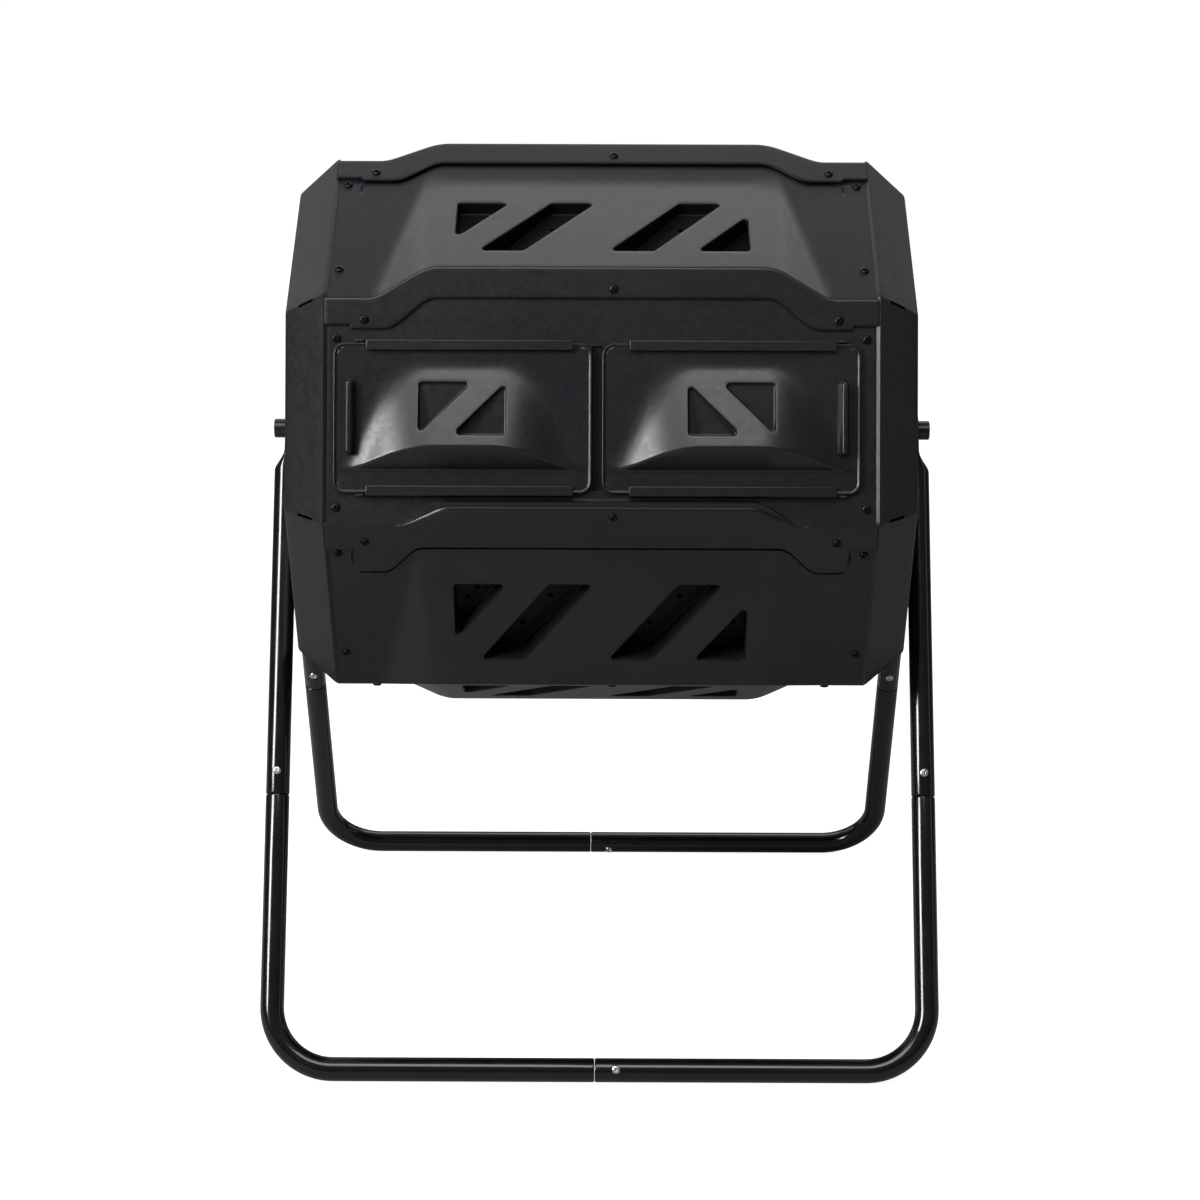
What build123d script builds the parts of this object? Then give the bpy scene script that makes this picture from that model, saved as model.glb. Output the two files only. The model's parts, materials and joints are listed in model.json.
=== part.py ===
from build123d import *
from math import atan2, cos, degrees, hypot, radians, sin, sqrt, tan
import os

os.makedirs("parts", exist_ok=True)

# Dual-chamber compost tumbler: an eight-sided plastic barrel that turns on a steel axle between
# two tubular U-frames. Millimetres, +Z up, origin on the floor under the middle of the axle. The
# doors face -Y.

# ---- driving dimensions ----
PIVOT_HEIGHT = 622.0  # axle centre above the floor
DOOR_TILT = 17.4  # the door panel's outward normal points this far above the horizontal

# barrel
BARREL_FLATS = 548.0  # across the outer faces of two opposite panels
BARREL_LENGTH = 554.0  # over the eight panels
SIDES = 8
WALL = 3.0
CAP_DEPTH = 40.5  # each end cap stands this far past the panels
CAP_FACE_FLATS = 480.0  # across the flats of a cap's outer face

# raised wedge and overlapping flange of a panel
WEDGE_RISE = 22.0
WEDGE_START = 76.0  # where the wedge leaves the flat, measured up from the panel's middle
WEDGE_TOP_HALF = 185.0
WEDGE_RIDGE_HALF = 174.0
WEDGE_BASE_HALF = 226.0
FLANGE_WIDTH = 37.0
NARROW_FLANGE = 33.0  # the panel above the doors has a narrower flange
FLANGE_SOFTNESS = 45.0  # radius of the flange edge's S-curves
FLANGE_INSET = 8.0  # the flange edge steps down this much nearer the middle than the bend does
BEAD_WIDTH = 8.0  # thickened stretch of a panel's lower corner, where the flange leaves it
TUCK = 5.0  # a panel's upper edge stops this far short of the ridge that covers it

# slanted vents, in panels: each is a blind pocket with two air holes in its floor
VENT_TOP = 33.0
VENT_BOTTOM = -62.0
VENT_LEAN = 0.75  # sideways run per unit of height
VENT_CENTRE_X = 66.0
VENT_HALF_WIDTH = 22.0
VENT_OUTER_X = 149.0
VENT_TRIANGLE = 52.0
VENT_CORNER = 3.0
POCKET_FLOOR = -8.0
POCKET_WALL = 2.5
AIR_HOLE_RADIUS = 3.0
AIR_HOLE_REACH = 20.0  # the two holes stand this far above and below a vent's middle
TRIANGLE_HOLE_REACH = 7.0

# door frame panel
LIP_RISE = 17.0
LIP_START = -90.5
LIP_TOP_HALF = 177.0
LIP_RIDGE_HALF = 172.0
LIP_BASE_HALF = 212.0
APRON_WIDTH = 64.5  # its flange reaches far down at both sides
APRON_HALF = 248.0
APRON_MIDDLE = 31.0
APRON_STEP_OUT = 8.0  # the apron's steps stand this far outside the lip's bends
MOUTH_INNER_X = 27.0
MOUTH_OUTER_X = 240.0
MOUTH_TOP = 50.0
MOUTH_BOTTOM = -69.0
MOUTH_CORNER = 12.0
RAIL_INNER_X = 28.0
RAIL_OUTER_X = 235.0
RAIL_LIP_UNDER = 5.6
RAIL_HEIGHT = 8.2
RAIL_COVER = 8.0  # how far a rail's lip reaches over the door
RAIL_WEB = 2.2

# sliding doors
DOOR_WIDTH = 258.5
DOOR_TOP = 66.2
DOOR_BOTTOM = -84.0
DOOR_CORNER = 12.0
DOOR_LIFT = 0.6  # running gap between a door and the panel
DOOR_WALL = 2.5
DOOR_RIM_WIDTH = 2.0
DOOR_RIM_HEIGHT = 1.6
LEFT_DOOR_X = -138.5
RIGHT_DOOR_X = 130.0
BULGE_RISE = 22.0
BULGE_TOP = 46.0
BULGE_BOTTOM = -61.0
BULGE_TOP_HALF = 65.0
BULGE_RIDGE_HALF = 53.0
BULGE_BASE_HALF = 112.0
RECESS_HALF_WIDTH = 42.0
RECESS_HALF_HEIGHT = 26.0
RECESS_RUN = 48.0  # length of a triangular recess along its straight edge
RECESS_DEPTH = 7.0
GRIP_X = 111.2
GRIP_WIDTH = 10.5
GRIP_CORNER = 5.05  # just under half the width
GRIP_TOP = 30.0
GRIP_BOTTOM = -47.0
GRIP_HEIGHT = 13.0

# screws and nuts
SCREW_RADIUS = 2.5
SCREW_HOLE_RADIUS = 2.7
SCREW_HEAD_RADIUS = 4.5
SCREW_HEAD_HEIGHT = 2.6
SCREW_HEAD_ROUND = 1.82  # fillet on top of a pan head
NUT_RADIUS = 4.6
NUT_HEIGHT = 4.0
SEAM_SCREW_X = 237.0
MIDDLE_SCREW_X = 12.0
SEAM_SCREW_DROP = 24.0  # an end screw's distance below the bend
MIDDLE_SCREW_DROP = 24.0
LIP_SCREW_DROP = 13.0
END_SCREW_X = 265.3
END_SCREW_RISE = 71.0
DOOR_END_SCREW_BOTTOM = -98.5

# end caps, divider and bearings
CAP_TONGUE = 26.0  # length of the cap's skirt under the panels
CAP_SLOT_LENGTH = 16.0
CAP_SLOT_WIDTH = 3.0
CAP_SLOT_INSET = 18.0  # from the corner line of the panels to the middle of a slot
CAP_SLOT_DEPTH = 30.0
HUB_RADIUS = 32.0
HUB_HEIGHT = 6.5
BUSH_RADIUS = 15.0
BUSH_FLANGE_RADIUS = 21.0
BUSH_FLANGE = 2.5
BUSH_LENGTH = 22.0
DIVIDER_RIM = 4.0  # half the width of the divider's thickened rim
DIVIDER_HUB_LENGTH = 24.0
EAR_WIDTH = 24.0
EAR_ABOVE = 4.5  # an ear reaches this far above and below its screw
EAR_BELOW = 26.0
EAR_WEB = 12.0
DIVIDER_HUB_RADIUS = 16.0

# stand
AXLE_RADIUS = 9.5
AXLE_WALL = 1.6
AXLE_HALF = 353.0
AXLE_END_HALF = 357.0
RUNNING_GAP = 0.08
HUB_GAP = 0.4  # all round the axle, inside the divider's hub
SPACER_GAP = 0.32  # between a turning bush and the still spacer beside it
END_PLUG_RADIUS = 10.3
END_PLUG_CHAMFER = 0.8
SPACER_WALL = 4.5  # of the spacers and washers on the axle
TUBE_RADIUS = 12.5
TUBE_WALL = 1.2
FOOT_SPREAD = 327.0  # front and rear foot bars stand this far from the middle
FRONT_LEG_X = 343.5
REAR_LEG_X = 339.5
PLATE_THICKNESS = 3.0
PLATE_HALF_WIDTH = 17.0
FLAT_END = 26.0  # where the flattened end of a leg begins to turn round
ROUND_START = 48.0
LEG_JOINT = 403.0  # distance down the leg from the axle to the joint of its two tubes
SPIGOT_LENGTH = 45.0
LEG_SCREW = 378.5
FOOT_BEND = 65.0
FRONT_BAR_JOINT_X = -5.0
REAR_BAR_JOINT_X = -13.0
BAR_SCREW_OFFSET = 22.5

# ---- derived dimensions ----
APOTHEM = BARREL_FLATS / 2
STEP = 360 / SIDES
BEND = radians(STEP)
HALF_SIDE = APOTHEM * tan(BEND / 2)
HALF_LENGTH = BARREL_LENGTH / 2
CAP_FACE_X = HALF_LENGTH + CAP_DEPTH
LEG_DROP = PIVOT_HEIGHT - TUBE_RADIUS
LEG_LENGTH = hypot(FOOT_SPREAD, LEG_DROP)
LEG_ANGLE = atan2(FOOT_SPREAD, LEG_DROP)
MANY = 400.0  # longer than any piece it has to reach through


# ---- helpers ----
def save(piece, label):
    """Labels a finished piece and writes its STEP file."""
    piece.part.label = label
    export_step(piece.part, f"parts/{label}.step")


def panel_plane(place, height=0.0):
    """Outer face of barrel side `place`, 0 at the doors, counted upwards.

    Its x runs along the barrel, y up the side and z outwards.
    """
    angle = radians(DOOR_TILT + STEP * place)
    outward = Vector(0, -cos(angle), sin(angle))
    return Plane(
        origin=Vector(0, 0, PIVOT_HEIGHT) + outward * (APOTHEM + height),
        x_dir=(1, 0, 0),
        z_dir=outward,
    )


def flange_plane():
    """Outer face of the next side down, seen from a panel lying on the XY plane."""
    return Plane(
        origin=(0, -HALF_SIDE * (1 + cos(BEND)), -HALF_SIDE * sin(BEND)),
        x_dir=(1, 0, 0),
        z_dir=(0, -sin(BEND), cos(BEND)),
    )


def plane_through(a, b, c, inside, push=0.0):
    """The plane through three points, its normal away from `inside`, moved towards it by `push`."""
    a, b, c, inside = Vector(*a), Vector(*b), Vector(*c), Vector(*inside)
    normal = (b - a).cross(c - a).normalized()
    if normal.dot(inside - a) > 0:
        normal = normal * -1
    return Plane(origin=a - normal * push, z_dir=normal)


def wedge_block(start, rise, top_half, ridge_half, base_half, drop=0.0, floor=-WALL):
    """The solid under a raised wedge; `drop` shrinks it by a wall on its outside faces."""
    ridge = (0, -HALF_SIDE + rise, rise)
    foot = flange_plane().offset(WALL - drop)
    with BuildPart() as block:
        with BuildSketch(Plane.YZ):
            with BuildLine():
                Polyline(
                    (start + 4 * WALL, floor),
                    (start + 4 * WALL, MANY),
                    (-2 * APOTHEM, MANY),
                    (-2 * APOTHEM, floor),
                    close=True,
                )
            make_face()
        extrude(amount=2 * base_half, both=True)
        split(bisect_by=foot, keep=Keep.BOTTOM)
        inside = (0, (start - HALF_SIDE) / 2, -MANY)
        top = plane_through((0, start, 0), ridge, (1, start, 0), inside, drop)
        split(bisect_by=top, keep=Keep.BOTTOM)
        for side in (-1, 1):
            cheek = plane_through(
                (side * top_half, start, 0),
                (side * base_half, -HALF_SIDE, 0),
                (side * ridge_half, ridge[1], rise),
                inside,
                drop,
            )
            split(bisect_by=cheek, keep=Keep.BOTTOM)
    return block.part


def stepped_edge(low, high, base_half, ridge_half):
    """Corner points of an edge that steps up in the middle, left to right, without its two ends."""
    return [(-base_half, low), (-ridge_half, high), (ridge_half, high), (base_half, low)]


def corner_bead():
    """Fillet of material that joins a panel's flat ends to its flange."""
    lift = WALL * sin(BEND)
    with BuildPart() as bead:
        with BuildSketch(Plane.YZ):
            Polygon(
                (-HALF_SIDE + BEAD_WIDTH, 0),
                (-HALF_SIDE, 0),
                (-HALF_SIDE - lift, lift),
                align=None,
            )
        extrude(amount=HALF_LENGTH, both=True)
    return bead.part


def sheet_outline(cover_rise, cover_base, cover_ridge):
    """Flat plate whose upper edge rises into the raised middle of the panel above it."""
    low = HALF_SIDE - TUCK
    high = HALF_SIDE + cover_rise * sqrt(2) - TUCK
    Polygon(
        (-HALF_LENGTH, -HALF_SIDE),
        (-HALF_LENGTH, low),
        *stepped_edge(low, high, cover_base - 3 * TUCK, cover_ridge - 2 * TUCK),
        (HALF_LENGTH, low),
        (HALF_LENGTH, -HALF_SIDE),
        align=None,
    )


def through_holes(spots, depth=4 * WALL):
    """Screw clearance holes through the piece being made."""
    with Locations(*spots):
        Cylinder(SCREW_HOLE_RADIUS, depth, mode=Mode.SUBTRACT)


def seam_row(low, high):
    """The three screws of a seam, at the heights of its end screws and its middle screw."""
    return [(-SEAM_SCREW_X, low), (SEAM_SCREW_X, low), (MIDDLE_SCREW_X, high)]


def screw_rows(rise, end_drop, middle_drop):
    """Heights of a seam's end screws and middle screw on the panel below the seam."""
    return HALF_SIDE - end_drop, HALF_SIDE + rise * sqrt(2) - middle_drop


def rounded(points, radius):
    """A closed outline with every corner rounded by one radius."""
    outline = Polygon(*points, align=None)
    fillet(outline.vertices(), radius)


def vent_shapes():
    """Corner points of one panel's four slanted vents."""
    middle = (VENT_TOP + VENT_BOTTOM) / 2
    shift = VENT_LEAN * (VENT_TOP - VENT_BOTTOM) / 2
    slants = [
        [
            (centre - VENT_HALF_WIDTH + shift, VENT_TOP),
            (centre + VENT_HALF_WIDTH + shift, VENT_TOP),
            (centre + VENT_HALF_WIDTH - shift, VENT_BOTTOM),
            (centre - VENT_HALF_WIDTH - shift, VENT_BOTTOM),
        ]
        for centre in (-VENT_CENTRE_X, VENT_CENTRE_X)
    ]
    left = [
        (-VENT_OUTER_X, VENT_TOP),
        (-VENT_OUTER_X + VENT_TRIANGLE, VENT_TOP),
        (-VENT_OUTER_X, VENT_TOP - VENT_TRIANGLE / VENT_LEAN),
    ]
    right = [(-x, 2 * middle - y) for x, y in left]
    return [left, *slants, right]


def end_row(low):
    """The end screws of a panel, two at each end; `low` is the height of the lower ones."""
    return [(x, y) for x in (-END_SCREW_X, END_SCREW_X) for y in (END_SCREW_RISE, low)]


def air_holes():
    """Two air holes in each vent's floor, on the slanted line through its middle."""
    spots = []
    for corners in vent_shapes():
        x = sum(p[0] for p in corners) / len(corners)
        y = sum(p[1] for p in corners) / len(corners)
        reach = AIR_HOLE_REACH if len(corners) == 4 else TRIANGLE_HOLE_REACH
        spots += [(x + step * VENT_LEAN, y + step) for step in (-reach, reach)]
    return spots


def vent_panel(flange_width, cover_rise, cover_base, cover_ridge, cover_screws):
    """A barrel side with a raised, vented wedge, lying on the XY plane."""
    wedge = (WEDGE_START, WEDGE_RISE, WEDGE_TOP_HALF, WEDGE_RIDGE_HALF, WEDGE_BASE_HALF)
    ridge = HALF_SIDE + WEDGE_RISE * sqrt(2)
    block = wedge_block(*wedge)
    hollow = wedge_block(*wedge, drop=WALL, floor=-MANY)
    seam = flange_plane()
    with BuildPart() as tubs:
        for corners in vent_shapes():
            with BuildSketch(Plane.XY.offset(POCKET_FLOOR - POCKET_WALL)):
                rounded(corners, VENT_CORNER)
                offset(amount=POCKET_WALL, mode=Mode.REPLACE)
            extrude(amount=MANY / 4)
        top = plane_through(
            (0, WEDGE_START, 0),
            (0, -HALF_SIDE + WEDGE_RISE, WEDGE_RISE),
            (1, WEDGE_START, 0),
            (0, 0, -MANY),
        )
        split(bisect_by=top, keep=Keep.BOTTOM)
    with BuildPart() as panel:
        with BuildSketch(Plane.XY):
            sheet_outline(cover_rise, cover_base, cover_ridge)
        extrude(amount=-WALL)
        through_holes(seam_row(*cover_screws))
        add(block)
        with BuildSketch(seam):
            with BuildLine():
                low, high = HALF_SIDE - flange_width, ridge - flange_width
                Polyline(
                    (-HALF_LENGTH, HALF_SIDE),
                    *stepped_edge(HALF_SIDE, ridge, WEDGE_BASE_HALF, WEDGE_RIDGE_HALF),
                    (HALF_LENGTH, HALF_SIDE),
                    (HALF_LENGTH, low),
                    *reversed(
                        stepped_edge(
                            low,
                            high,
                            WEDGE_BASE_HALF - FLANGE_INSET,
                            WEDGE_RIDGE_HALF - FLANGE_INSET,
                        )
                    ),
                    (-HALF_LENGTH, low),
                    close=True,
                )
            make_face()
            steps = vertices().filter_by_position(Axis.X, -WEDGE_BASE_HALF, WEDGE_BASE_HALF)
            upper_steps = steps.filter_by_position(Axis.Y, high - 1, high + 1)
            fillet(steps.group_by(Axis.Y)[0] + upper_steps, FLANGE_SOFTNESS)
        extrude(amount=WALL)
        add(corner_bead())
        add(hollow, mode=Mode.SUBTRACT)
        add(tubs.part)
        for corners in vent_shapes():
            with BuildSketch(Plane.XY.offset(POCKET_FLOOR)):
                rounded(corners, VENT_CORNER)
            extrude(amount=MANY / 4, mode=Mode.SUBTRACT)
        with Locations(*[(x, y, POCKET_FLOOR) for x, y in air_holes()]):
            Cylinder(AIR_HOLE_RADIUS, 4 * POCKET_WALL, mode=Mode.SUBTRACT)
        with Locations(seam):
            through_holes(seam_row(*screw_rows(WEDGE_RISE, SEAM_SCREW_DROP, MIDDLE_SCREW_DROP)))
        through_holes(end_row(-END_SCREW_RISE))
    return panel.part


# what covers a panel's upper edge: the wedge of a vent panel, or the lip of the door frame panel
WEDGE_ROWS = screw_rows(WEDGE_RISE, SEAM_SCREW_DROP, MIDDLE_SCREW_DROP)
LIP_ROWS = screw_rows(LIP_RISE, SEAM_SCREW_DROP, LIP_SCREW_DROP)
UNDER_WEDGE = (WEDGE_RISE, WEDGE_BASE_HALF, WEDGE_RIDGE_HALF, WEDGE_ROWS)
UNDER_LIP = (LIP_RISE, LIP_BASE_HALF, LIP_RIDGE_HALF, LIP_ROWS)

# ---- seven vented panels ----
VENT_PANELS = {
    "panel_upper_front": 1,
    "panel_top": 2,
    "panel_upper_rear": 3,
    "panel_rear": 4,
    "panel_lower_rear": 5,
    "panel_bottom": 6,
    "panel_lower_front": 7,
}
wide_panel = vent_panel(FLANGE_WIDTH, *UNDER_WEDGE)
narrow_panel = vent_panel(NARROW_FLANGE, *UNDER_WEDGE)
below_door_panel = vent_panel(FLANGE_WIDTH, *UNDER_LIP)
for label, place in VENT_PANELS.items():
    pressed = {1: narrow_panel, 7: below_door_panel}.get(place, wide_panel)
    with BuildPart() as vented:
        with Locations(panel_plane(place)):
            add(pressed)
    save(vented, label)

# ---- door frame panel ----
lip = (LIP_START, LIP_RISE, LIP_TOP_HALF, LIP_RIDGE_HALF, LIP_BASE_HALF)
lip_ridge = HALF_SIDE + LIP_RISE * sqrt(2)
lip_block = wedge_block(*lip)
lip_hollow = wedge_block(*lip, drop=WALL, floor=-MANY)
with BuildPart() as frame_blank:
    with BuildSketch(Plane.XY):
        sheet_outline(*UNDER_WEDGE[:3])
    extrude(amount=-WALL)
    through_holes(seam_row(*UNDER_WEDGE[3]))
    add(lip_block)
    # flange, with an apron at each side that reaches further down than the ends and the middle
    with BuildSketch(flange_plane()):
        with BuildLine():
            apron = HALF_SIDE - APRON_WIDTH
            end_low = HALF_SIDE - NARROW_FLANGE
            Polyline(
                (-HALF_LENGTH, HALF_SIDE),
                *stepped_edge(HALF_SIDE, lip_ridge, LIP_BASE_HALF, LIP_RIDGE_HALF),
                (HALF_LENGTH, HALF_SIDE),
                (HALF_LENGTH, end_low),
                (APRON_HALF, end_low),
                (APRON_HALF, apron),
                *reversed(
                    stepped_edge(
                        apron,
                        HALF_SIDE - APRON_MIDDLE,
                        LIP_BASE_HALF + APRON_STEP_OUT,
                        LIP_RIDGE_HALF + APRON_STEP_OUT,
                    )
                ),
                (-APRON_HALF, apron),
                (-APRON_HALF, end_low),
                (-HALF_LENGTH, end_low),
                close=True,
            )
        make_face()
        reach = LIP_BASE_HALF + APRON_STEP_OUT + 1
        soft = vertices().filter_by_position(Axis.X, -reach, reach)
        soft = soft.filter_by_position(Axis.Y, apron - 1, HALF_SIDE - APRON_MIDDLE + 1)
        fillet(soft, FLANGE_SOFTNESS)
    extrude(amount=WALL)
    add(corner_bead())
    add(lip_hollow, mode=Mode.SUBTRACT)
    # the two mouths
    for side in (-1, 1):
        with BuildSketch(Plane.XY.offset(-2 * WALL)):
            mouth_x = side * (MOUTH_INNER_X + MOUTH_OUTER_X) / 2
            with Locations((mouth_x, (MOUTH_TOP + MOUTH_BOTTOM) / 2)):
                RectangleRounded(MOUTH_OUTER_X - MOUTH_INNER_X, MOUTH_TOP - MOUTH_BOTTOM, MOUTH_CORNER)
        extrude(amount=4 * WALL, mode=Mode.SUBTRACT)
    # rails: an L-shaped section hooks over the door's upper and lower edges
    for edge, up in ((DOOR_TOP, 1), (DOOR_BOTTOM, -1)):
        web = edge + up * DOOR_LIFT
        for side in (-1, 1):
            start = side * (RAIL_INNER_X if side > 0 else RAIL_OUTER_X)
            with BuildSketch(Plane.YZ.offset(start)):
                with BuildLine():
                    Polyline(
                        (web, 0),
                        (web + up * RAIL_WEB, 0),
                        (web + up * RAIL_WEB, RAIL_HEIGHT),
                        (web - up * RAIL_COVER, RAIL_HEIGHT),
                        (web - up * RAIL_COVER, RAIL_LIP_UNDER),
                        (web, RAIL_LIP_UNDER),
                        close=True,
                    )
                make_face()
            extrude(amount=RAIL_OUTER_X - RAIL_INNER_X)
    with Locations(flange_plane()):
        through_holes(seam_row(*UNDER_LIP[3]))
    through_holes(end_row(DOOR_END_SCREW_BOTTOM))
with BuildPart() as door_frame_panel:
    with Locations(panel_plane(0)):
        add(frame_blank.part)
save(door_frame_panel, "door_frame_panel")


# ---- sliding doors ----
def bulge_block(drop, floor):
    """The solid under the door's bulge: a slope with a steep lower face and slanted cheeks."""
    ridge = (0, BULGE_BOTTOM + BULGE_RISE, BULGE_RISE)
    inside = (0, 0, -MANY)
    low, high = (0, BULGE_BOTTOM, 0), (0, BULGE_TOP, 0)
    faces = [plane_through(high, ridge, (1, BULGE_TOP, 0), inside, drop)]
    faces.append(plane_through(low, ridge, (1, BULGE_BOTTOM, 0), inside, drop))
    for side in (-1, 1):
        corners = (
            (side * BULGE_TOP_HALF, BULGE_TOP, 0),
            (side * BULGE_BASE_HALF, BULGE_BOTTOM, 0),
            (side * BULGE_RIDGE_HALF, ridge[1], BULGE_RISE),
        )
        faces.append(plane_through(*corners, inside, drop))
    with BuildPart() as block:
        with BuildSketch(Plane.XY.offset(floor)):
            Rectangle(2 * BULGE_BASE_HALF, 2 * BULGE_BASE_HALF)
        extrude(amount=BULGE_RISE - floor)
        for face in faces:
            split(bisect_by=face, keep=Keep.BOTTOM)
    return block.part


def recess_shapes():
    """The two triangular recesses of a door, one the other turned half a turn."""
    w, h = RECESS_HALF_WIDTH, RECESS_HALF_HEIGHT
    outer = [(w, h), (w - RECESS_RUN, h), (w, -h)]
    return [outer, [(-x, -y) for x, y in outer]]


bulge = bulge_block(0.0, -DOOR_WALL)
bulge_hollow = bulge_block(DOOR_WALL, -MANY / 4)
slope = plane_through(
    (0, BULGE_TOP, 0), (0, BULGE_BOTTOM + BULGE_RISE, BULGE_RISE), (1, BULGE_TOP, 0), (0, 0, -MANY)
)
door_outline = (DOOR_WIDTH, DOOR_TOP - DOOR_BOTTOM, DOOR_CORNER)
with BuildPart() as right_door_blank:
    with BuildSketch(Plane.XY.offset(-DOOR_WALL)):
        with Locations((0, (DOOR_TOP + DOOR_BOTTOM) / 2)):
            RectangleRounded(*door_outline)
    extrude(amount=DOOR_WALL)
    # raised rim
    with BuildSketch(Plane.XY):
        with Locations((0, (DOOR_TOP + DOOR_BOTTOM) / 2)):
            RectangleRounded(*door_outline)
        offset(amount=-DOOR_RIM_WIDTH, mode=Mode.SUBTRACT)
    extrude(amount=DOOR_RIM_HEIGHT)
    add(bulge)
    add(bulge_hollow, mode=Mode.SUBTRACT)
    # walls of the recesses, cut off at the bulge's slope, then the recesses themselves
    for corners in recess_shapes():
        with BuildSketch(Plane.XY.offset(BULGE_RISE / 2)):
            rounded(corners, VENT_CORNER)
            offset(amount=DOOR_WALL, mode=Mode.REPLACE)
        extrude(amount=-(RECESS_DEPTH + DOOR_WALL))
    split(bisect_by=slope, keep=Keep.BOTTOM)
    for corners in recess_shapes():
        with BuildSketch(Plane.XY.offset(BULGE_RISE / 2 - RECESS_DEPTH)):
            rounded(corners, VENT_CORNER)
        extrude(amount=MANY / 4, mode=Mode.SUBTRACT)
    # grip rib near the outer end
    with BuildSketch(Plane.XY):
        with Locations((GRIP_X, (GRIP_TOP + GRIP_BOTTOM) / 2)):
            RectangleRounded(GRIP_WIDTH, GRIP_TOP - GRIP_BOTTOM, GRIP_CORNER)
    extrude(amount=GRIP_HEIGHT - DOOR_WALL)
with BuildPart() as left_door_blank:
    add(right_door_blank.part)
    mirror(about=Plane.YZ, mode=Mode.REPLACE)

DOORS = {"door_left": (left_door_blank, LEFT_DOOR_X), "door_right": (right_door_blank, RIGHT_DOOR_X)}
for label, (blank, centre) in DOORS.items():
    closed = panel_plane(0, DOOR_LIFT + DOOR_WALL)
    closed.origin = closed.origin + Vector(centre, 0, 0)
    with BuildPart() as door:
        with Locations(closed):
            add(blank.part)
    save(door, label)


# ---- end caps, bushes and divider ----
def axis_plane(x):
    """Plane across the axle at `x`, centred on it."""
    return Plane(origin=(x, 0, PIVOT_HEIGHT), x_dir=(0, 1, 0), z_dir=(1, 0, 0))


def ring(x, outer, inner, length):
    """A round sleeve on the axle's line, from `x` on towards +X, or a solid disc when `inner` is 0."""
    onwards = (Align.CENTER, Align.CENTER, Align.MIN)
    with BuildPart() as sleeve:
        with Locations(axis_plane(x)):
            Cylinder(outer, length, align=onwards)
            if inner:
                Cylinder(inner, length, align=onwards, mode=Mode.SUBTRACT)
    return sleeve.part


def frustum(x0, apothem0, x1, apothem1):
    """Tapered octagonal solid between two sections of the barrel."""
    with BuildPart() as solid:
        for x, apothem in ((x0, apothem0), (x1, apothem1)):
            with BuildSketch(axis_plane(x)):
                RegularPolygon(apothem, SIDES, major_radius=False, rotation=180 - DOOR_TILT - STEP / 2)
        loft()
    return solid.part


cap_taper = (APOTHEM - CAP_FACE_FLATS / 2) / CAP_DEPTH
cap_shell = frustum(HALF_LENGTH, APOTHEM, CAP_FACE_X, CAP_FACE_FLATS / 2)
cap_inset = 1.5 * WALL  # a wall's thickness measured square to the axle
cap_hollow = frustum(
    HALF_LENGTH + WALL,
    APOTHEM - cap_taper * WALL - cap_inset,
    CAP_FACE_X - WALL,
    CAP_FACE_FLATS / 2 + cap_taper * WALL - cap_inset,
)
tongue = frustum(HALF_LENGTH - CAP_TONGUE, APOTHEM - WALL, HALF_LENGTH, APOTHEM - WALL)
tongue_bore = frustum(
    HALF_LENGTH - CAP_TONGUE - WALL, APOTHEM - 2 * WALL, HALF_LENGTH + WALL, APOTHEM - 2 * WALL
)
with BuildPart() as cap_right_blank:
    add(cap_shell)
    add(tongue)
    add(cap_hollow, mode=Mode.SUBTRACT)
    add(tongue_bore, mode=Mode.SUBTRACT)
    add(ring(CAP_FACE_X - WALL, HUB_RADIUS, 0, WALL + HUB_HEIGHT))
    add(ring(CAP_FACE_X - BUSH_LENGTH, BUSH_RADIUS + 2 * WALL, 0, BUSH_LENGTH))
    add(ring(CAP_FACE_X - 2 * BUSH_LENGTH, BUSH_RADIUS, 0, 4 * BUSH_LENGTH), mode=Mode.SUBTRACT)
    # a moulding slot half way along each slanted corner
    for place in range(SIDES):
        angle = radians(DOOR_TILT + STEP * (place + 0.5))
        outward = Vector(0, -cos(angle), sin(angle))
        middle = Vector(HALF_LENGTH + CAP_DEPTH / 2, 0, PIVOT_HEIGHT)
        middle += outward * (APOTHEM / cos(BEND / 2) - CAP_SLOT_INSET)
        with BuildSketch(Plane(origin=middle, x_dir=(1, 0, 0), z_dir=outward)):
            RectangleRounded(CAP_SLOT_LENGTH, CAP_SLOT_WIDTH, CAP_SLOT_WIDTH / 3)
        extrude(amount=CAP_SLOT_DEPTH / 2, both=True, mode=Mode.SUBTRACT)
    # end screw holes through the tongue
    for place in range(SIDES):
        low = DOOR_END_SCREW_BOTTOM if place == 0 else -END_SCREW_RISE
        with Locations(panel_plane(place)):
            through_holes(end_row(low), 6 * WALL)
save(cap_right_blank, "end_cap_right")
with BuildPart() as end_cap_left:
    add(cap_right_blank.part)
    mirror(about=Plane.YZ, mode=Mode.REPLACE)
save(end_cap_left, "end_cap_left")

bush_face = CAP_FACE_X + HUB_HEIGHT
for side, label in ((1, "hub_bush_right"), (-1, "hub_bush_left")):
    with BuildPart() as bush:
        add(ring(bush_face - BUSH_LENGTH, BUSH_RADIUS, AXLE_RADIUS + RUNNING_GAP, BUSH_LENGTH))
        add(ring(bush_face, BUSH_FLANGE_RADIUS, AXLE_RADIUS + RUNNING_GAP, BUSH_FLANGE))
        if side < 0:
            mirror(about=Plane.YZ, mode=Mode.REPLACE)
    save(bush, label)

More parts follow.
